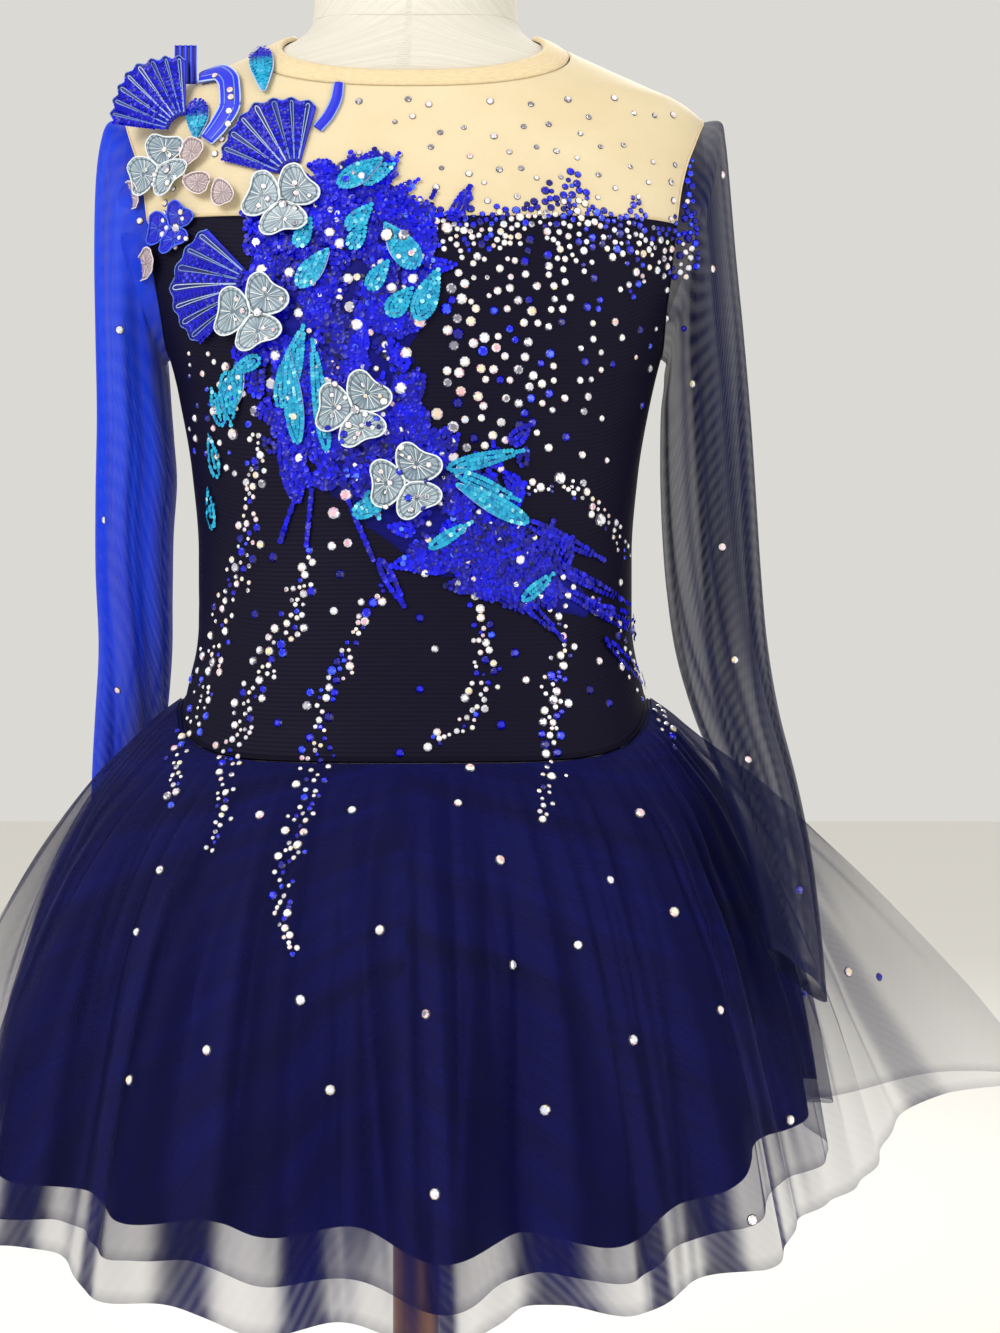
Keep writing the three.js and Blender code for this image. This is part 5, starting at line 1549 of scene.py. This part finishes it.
def ground_tree(names):
    """One search tree over the shown surfaces of these pieces."""
    points, faces, total = [], [], 0
    for name in names:
        mesh = PIECES[name].data
        spots = np.empty(len(mesh.vertices) * 3)
        mesh.vertices.foreach_get("co", spots)
        points.append(spots.reshape(-1, 3) * 1000)
        faces += [[v + total for v in face.vertices] for face in mesh.polygons]
        total += len(mesh.vertices)
    return BVHTree.FromPolygons(np.concatenate(points).tolist(), faces)


COVERED = [
    "bodice_front", "yoke_front", "lace_spray", "sleeve_left", "sleeve_right", "tulle_top", "fan_chest"
]
COVERED += ["fan_side", "fan_shoulder", "shoulder_loop", "shoulder_tab", "shoulder_drop", "petals_blush"]
COVERED += list(LEAVES) + list(FLOWERS)
ground = ground_tree(COVERED)
aurora, royal = Bundle(), Bundle()
missed = 0
TAKEN = []  # middle and reach, in pixels, of each stone so far


def stone_through(px, py, size, tone, bundle):
    """A stone where the sight line through a pixel first meets the dress, if no other stone is there."""
    global missed
    reach = 0.47 * size / PIXEL_MM
    if any(math.hypot(px - x, py - y) < reach + other for x, y, other in TAKEN):
        return
    TAKEN.append((px, py, reach))
    ray = sight_line(px, py)
    hit, normal, _, _ = ground.ray_cast(Vector(EYE), Vector(ray))
    if hit is None:
        missed += 1
        return
    normal = np.array(normal)
    if normal @ ray > 0:
        normal = -normal
    add_stone(bundle, np.array(hit) + normal * 0.1, normal, size, tone)


def strew(spots, sizes, tones, bundle=aurora):
    """Stones at these pixels, with a size and a tone drawn between two limits."""
    for px, py in spots:
        stone_through(px, py, stone_rng.uniform(*sizes), stone_rng.uniform(*tones), bundle)


# %% [markdown]
# ### Where the stones go
# The streams and single stones are placed one by one. The scatter on the chest, the band along the
# neckline and the thin sprinkle on the yoke are filled in by a seeded draw, denser towards the top.

# %% Streams, scatter and neckline
STREAMS = [
    [
        (258, 437), (253, 482), (247, 549), (226, 603), (221, 635), (210, 664), (202, 707), (180, 746),
        (172, 801),
    ],
    [
        (310, 552), (304, 581), (298, 603), (285, 630), (266, 664), (249, 703), (232, 746), (223, 789),
        (219, 832), (209, 857),
    ],
    [
        (387, 579), (373, 600), (357, 630), (339, 664), (320, 716), (315, 763), (305, 793), (294, 840),
        (283, 875), (281, 909), (285, 935), (293, 952),
    ],
    [(475, 598), (484, 626), (484, 654), (484, 685), (476, 716), (455, 733), (425, 744)],
    [(560, 617), (565, 643), (559, 675), (553, 720), (550, 746), (546, 790), (540, 821)],
    [(531, 491), (571, 485), (593, 505), (618, 536), (632, 564)],
    [(588, 598), (616, 626), (632, 665), (650, 702), (668, 728), (677, 746)],
]
LARGE = [  # the largest stones of the lace, one by one
    (330, 233), (262, 270), (257, 243), (340, 244), (348, 279), (387, 235), (404, 235), (447, 228),
    (413, 279), (406, 353), (401, 388), (437, 414), (453, 427), (299, 313), (276, 355), (226, 367),
    (272, 384), (290, 273), (350, 307), (357, 325), (327, 382), (420, 322), (300, 458), (346, 495),
    (334, 513), (462, 529), (233, 434), (215, 411), (255, 411), (392, 288), (381, 264), (560, 478),
    (600, 520), (520, 560),
]
strew(LARGE, (5.6, 7.4), (0.2, 0.9))


def stone_stream(line, step, wide, royal_share, seed):
    """Stones of mixed size strewn along a line of pixels; the stream narrows to both its ends."""
    rng, line = np.random.default_rng(seed), np.array(line, float)
    run = np.concatenate([[0], np.cumsum(np.hypot(*np.diff(line, axis=0).T))])
    for at in np.arange(0, run[-1], step):
        spread_here = wide * (1 - 0.75 * abs(2 * at / run[-1] - 1) ** 3)
        for _ in range(5):
            px = np.interp(at, run, line[:, 0]) + rng.normal(0, 0.5 * spread_here)
            py = np.interp(at, run, line[:, 1]) + rng.normal(0, 3)
            size = rng.uniform(4.0, 5.4) if rng.uniform() < 0.4 else rng.uniform(2.2, 3.4)
            tone = rng.uniform(0.2, 1.0)
            stone_through(px, py, size, tone, royal if rng.uniform() < royal_share else aurora)


for k, stream in enumerate(STREAMS):
    stone_stream(stream, 5, 13 if k < 6 else 9, 0.24 if k != 2 else 0.4, 50 + k)
ROYAL_SINGLES = [
    (273, 557), (255, 614), (278, 723), (340, 574), (420, 618), (420, 689), (400, 753), (515, 653),
    (501, 725), (609, 703), (339, 696), (246, 560), (300, 600), (590, 690), (529, 300), (585, 362),
    (548, 255), (640, 330), (500, 380), (600, 300), (520, 425), (452, 300), (566, 437), (630, 250),
]
CLEAR_SINGLES = [
    (599, 661), (435, 649), (526, 680), (334, 611), (348, 543), (332, 546), (425, 573), (458, 583),
    (620, 582),
]
strew(ROYAL_SINGLES, (3.8, 5.2), (0.2, 0.7), royal)
strew(CLEAR_SINGLES, (3.8, 5.2), (0.2, 1.0))
ON_SKIRT = [
    (137, 932), (207, 1050), (426, 1014), (512, 965), (578, 945), (674, 912), (435, 1194), (260, 815),
    (352, 810), (500, 860), (458, 803), (470, 768), (640, 813), (633, 1040), (790, 1120), (752, 1220),
    (848, 972), (330, 1090), (720, 1010), (380, 930), (130, 1080), (545, 1110), (300, 1000), (610, 880),
    (160, 870),
]
strew(ON_SKIRT, (4.4, 5.6), (0.4, 1.0))
ON_FOLD = [(799, 890), (879, 977), (804, 994)]
for px, py in ON_FOLD:
    stone_through(px, py, 4.6, 0.3, royal)
ON_SLEEVES = [
    (722, 175), (712, 269), (693, 384), (722, 547), (735, 660), (120, 330), (105, 520), (118, 690),
    (748, 760),
]
for px, py in ON_SLEEVES:
    stone_through(px, py, 4.4, stone_rng.uniform(0.5, 0.8), aurora)


def spread(count, low, high, gap, weight, seed):
    """Seeded places in a box of pixels, no two nearer than gap, kept as often as weight says."""
    rng, places = np.random.default_rng(seed), []
    for _ in range(count * 40):
        spot = rng.uniform(low, high)
        if rng.uniform() < weight(*spot) and all(math.hypot(*(spot - other)) > gap for other in places):
            places.append(spot)
        if len(places) == count:
            break
    return places


# The neckline: a dense, uneven band of small stones, two in three of them royal, with a few peaks.
for _ in range(2100):
    px, deep = stone_rng.uniform(428, 692), stone_rng.exponential(13)
    py = 206 + 8 * math.sin((px - 432) / 27) + 0.0016 * (px - 560) ** 2 * (px > 560) + deep
    blue = stone_rng.uniform() < (0.9 if deep < 11 else 0.3)
    stone_through(px, py, stone_rng.uniform(2.5, 4.8), stone_rng.uniform(0.2, 1.0), royal if blue else aurora)
PEAKS = [
    (573, 170, 40, 20), (498, 206, 14, 6), (547, 180, 30, 9), (636, 196, 26, 12), (601, 206, 12, 6),
    (690, 160, 112, 10), (673, 214, 60, 10), (469, 198, 14, 5),
]
for x, top, tall, wide in PEAKS:
    for _ in range(int(0.3 * tall * wide)):
        share = stone_rng.uniform(0, 1)
        px, py = x + stone_rng.uniform(-1, 1) * wide * (0.25 + 0.75 * share), top + tall * share
        blue = stone_rng.uniform() < 0.86
        stone_through(
            px, py, stone_rng.uniform(2.6, 4.4), stone_rng.uniform(0.3, 1.0), royal if blue else aurora
        )
for spot in spread(
    150, (446, 226), (664, 470), 11, lambda x, y: max(0.05, 1 - (x - 446) / 170 - max(0, y - 400) / 150), 3
):
    blue, large = stone_rng.uniform() < 0.2, 1.6 * max(0, 1 - (spot[0] - 446) / 150)
    stone_through(
        *spot, stone_rng.uniform(3, 4.8) + large, stone_rng.uniform(0.2, 1.0), royal if blue else aurora
    )
# The side of the bodice below the side fan: small stones, thinning out downwards.
for spot in spread(46, (188, 352), (262, 480), 10, lambda x, y: max(0.1, 1 - (y - 352) / 150), 21):
    blue = stone_rng.uniform() < 0.4
    stone_through(*spot, stone_rng.uniform(2.4, 4.4), stone_rng.uniform(0.2, 1.0), royal if blue else aurora)
strew(
    spread(60, (350, 96), (676, 206), 17, lambda x, y: 0.2 + 0.8 * (y - 96) / 110, 14), (2.6, 3.8),
    (0.05, 0.5)
)
print("stones on the cloth so far; rays that missed:", missed)

# %% [markdown]
# ### Stones on the flowers, the ribbon and the lace
# The trim is stoned after the cloth. Each flower has a large stone in the middle and three on each
# petal, the ribbon loop carries a row, and one in three of those strewn on the lace is royal. The
# flowers' stones are placed from the flowers' own table, so they move along if a flower does.

# %% Stones on the appliques
def view_of(x, z, out=FACE):
    """The pixel of the view that shows a place on the front: the inverse of front_place."""
    nearer = -EYE[1] / (over_front(x, z, out)[1] - EYE[1])
    return (
        FRAME_PX[0] / 2 + (x - EYE[0]) * nearer / PIXEL_MM, FRAME_PX[1] / 2 - (z - EYE[2]) * nearer / PIXEL_MM
    )


TAKEN.clear()
for name, (x, z, radius, turned, seat) in FLOWERS.items():
    stone_through(*view_of(x, z, seat_out(seat)), 5.2, 0.3, aurora)
    for k in range(3):
        for side, share in ((-24, 0.7), (22, 0.62), (0, 0.42)):
            angle = math.radians(turned + PETAL_STEP * k + side)
            spot = view_of(
                x + share * radius * math.cos(angle), z + share * radius * math.sin(angle), seat_out(seat)
            )
            stone_through(*spot, stone_rng.uniform(2.4, 3.6), stone_rng.uniform(0.2, 0.9), aurora)
LOOP_STONES = [(215, 76), (230, 90), (231, 97), (229, 111), (228, 124), (222, 139), (215, 154)]
ON_DARK = [(168, 183), (164, 214), (140, 221), (164, 232), (181, 208), (165, 203)]
for px, py in LOOP_STONES + ON_DARK:
    stone_through(px, py, 3.8, stone_rng.uniform(0.45, 0.95), aurora)
for k in range(200):
    t, side = stone_rng.uniform(0.1, 9.6), stone_rng.uniform(-0.95, 0.95)
    x, z = (float(v) for v in lace_place(t, side))
    strew([view_of(x, z)], (2.4, 4.4), (0.2, 1.0), aurora if k % 3 else royal)

# %% [markdown]
# ### The back
# The back isn't in view. It is finished as such dresses are: a shorter band of stones along the edge of
# the knit and a thin scatter below it.

# %% Stones at the back
for k in range(54):
    share = -0.93 + 1.86 * k / 53
    for row in (0, 1):
        t = EDGE - 0.25 - 0.42 * row - 0.12 * math.sin(5 * share + row)
        centre = panel_grid([t], [share], True, FACE + 0.15)[0, 0]
        normal = form_normal(math.pi + share * panel_end(centre[2], 20, True), centre[2])
        add_stone(
            royal if (k + row) % 4 == 0 else aurora, centre, normal, stone_rng.uniform(3, 4.6),
            stone_rng.uniform(0.3, 1)
        )
for _ in range(70):
    x, z = stone_rng.uniform(-95, 95), 846 - 190 * stone_rng.uniform(0, 1) ** 1.7
    u = math.pi - math.copysign(math.asin((abs(x) / float(form_half(z))) ** (float(form_corner(z)) / 2)), x)
    add_stone(
        aurora, over_form(u, z, FACE + 0.15), form_normal(u, z), stone_rng.uniform(3, 5),
        stone_rng.uniform(0.3, 1)
    )
aurora.piece("stones_aurora", aurora_glass, smooth=False, slot="silver_lace")
royal.piece("stones_royal", royal_glass, smooth=False, slot="royal_sequin")

# %% [markdown]
# ## Floor and light
# A pale, plain floor and a bright, soft studio: one large light from the front left, a weaker one from
# the right and one from behind above, in a pale room.

# %% Floor, lights and world
bpy.ops.mesh.primitive_plane_add(size=14, location=(0, 0, 0))
floor = bpy.context.object
floor.name = "floor"
paper, tree, shader = new_finish("pale_paper_floor", Roughness=0.9)
shader.inputs["Base Color"].default_value = linear("#f3f1eb")
floor.data.materials.append(paper)


def soft_light(name, place, aim, size, watts, colour="#ffffff"):
    lamp = bpy.data.lights.new(name, "AREA")
    lamp.energy, lamp.size, lamp.color = watts, size, linear(colour)[:3]
    holder = bpy.data.objects.new(name, lamp)
    holder.location = place
    holder.rotation_euler = (Vector(aim) - Vector(place)).to_track_quat("-Z", "Y").to_euler()
    bpy.context.scene.collection.objects.link(holder)


# Name, place and aim in metres, side in metres, watts.
soft_light("key", (-1.5, -1.9, 1.9), (0, 0, 0.7), 1.3, 42, "#fffdfa")
soft_light("fill", (1.9, -1.5, 1.1), (0, 0, 0.6), 1.6, 16)
soft_light("top_back", (0.3, 1.6, 2.1), (0, 0, 0.7), 1.2, 26)
world = bpy.data.worlds.new("pale_room")
world.use_nodes = True
room = world.node_tree.nodes["Background"]
room.inputs["Color"].default_value = linear("#eae8e3")
room.inputs["Strength"].default_value = 0.86
bpy.context.scene.world = world
bpy.context.scene.view_settings.view_transform = "Standard"
bpy.context.scene.cycles.transparent_max_bounces = 32
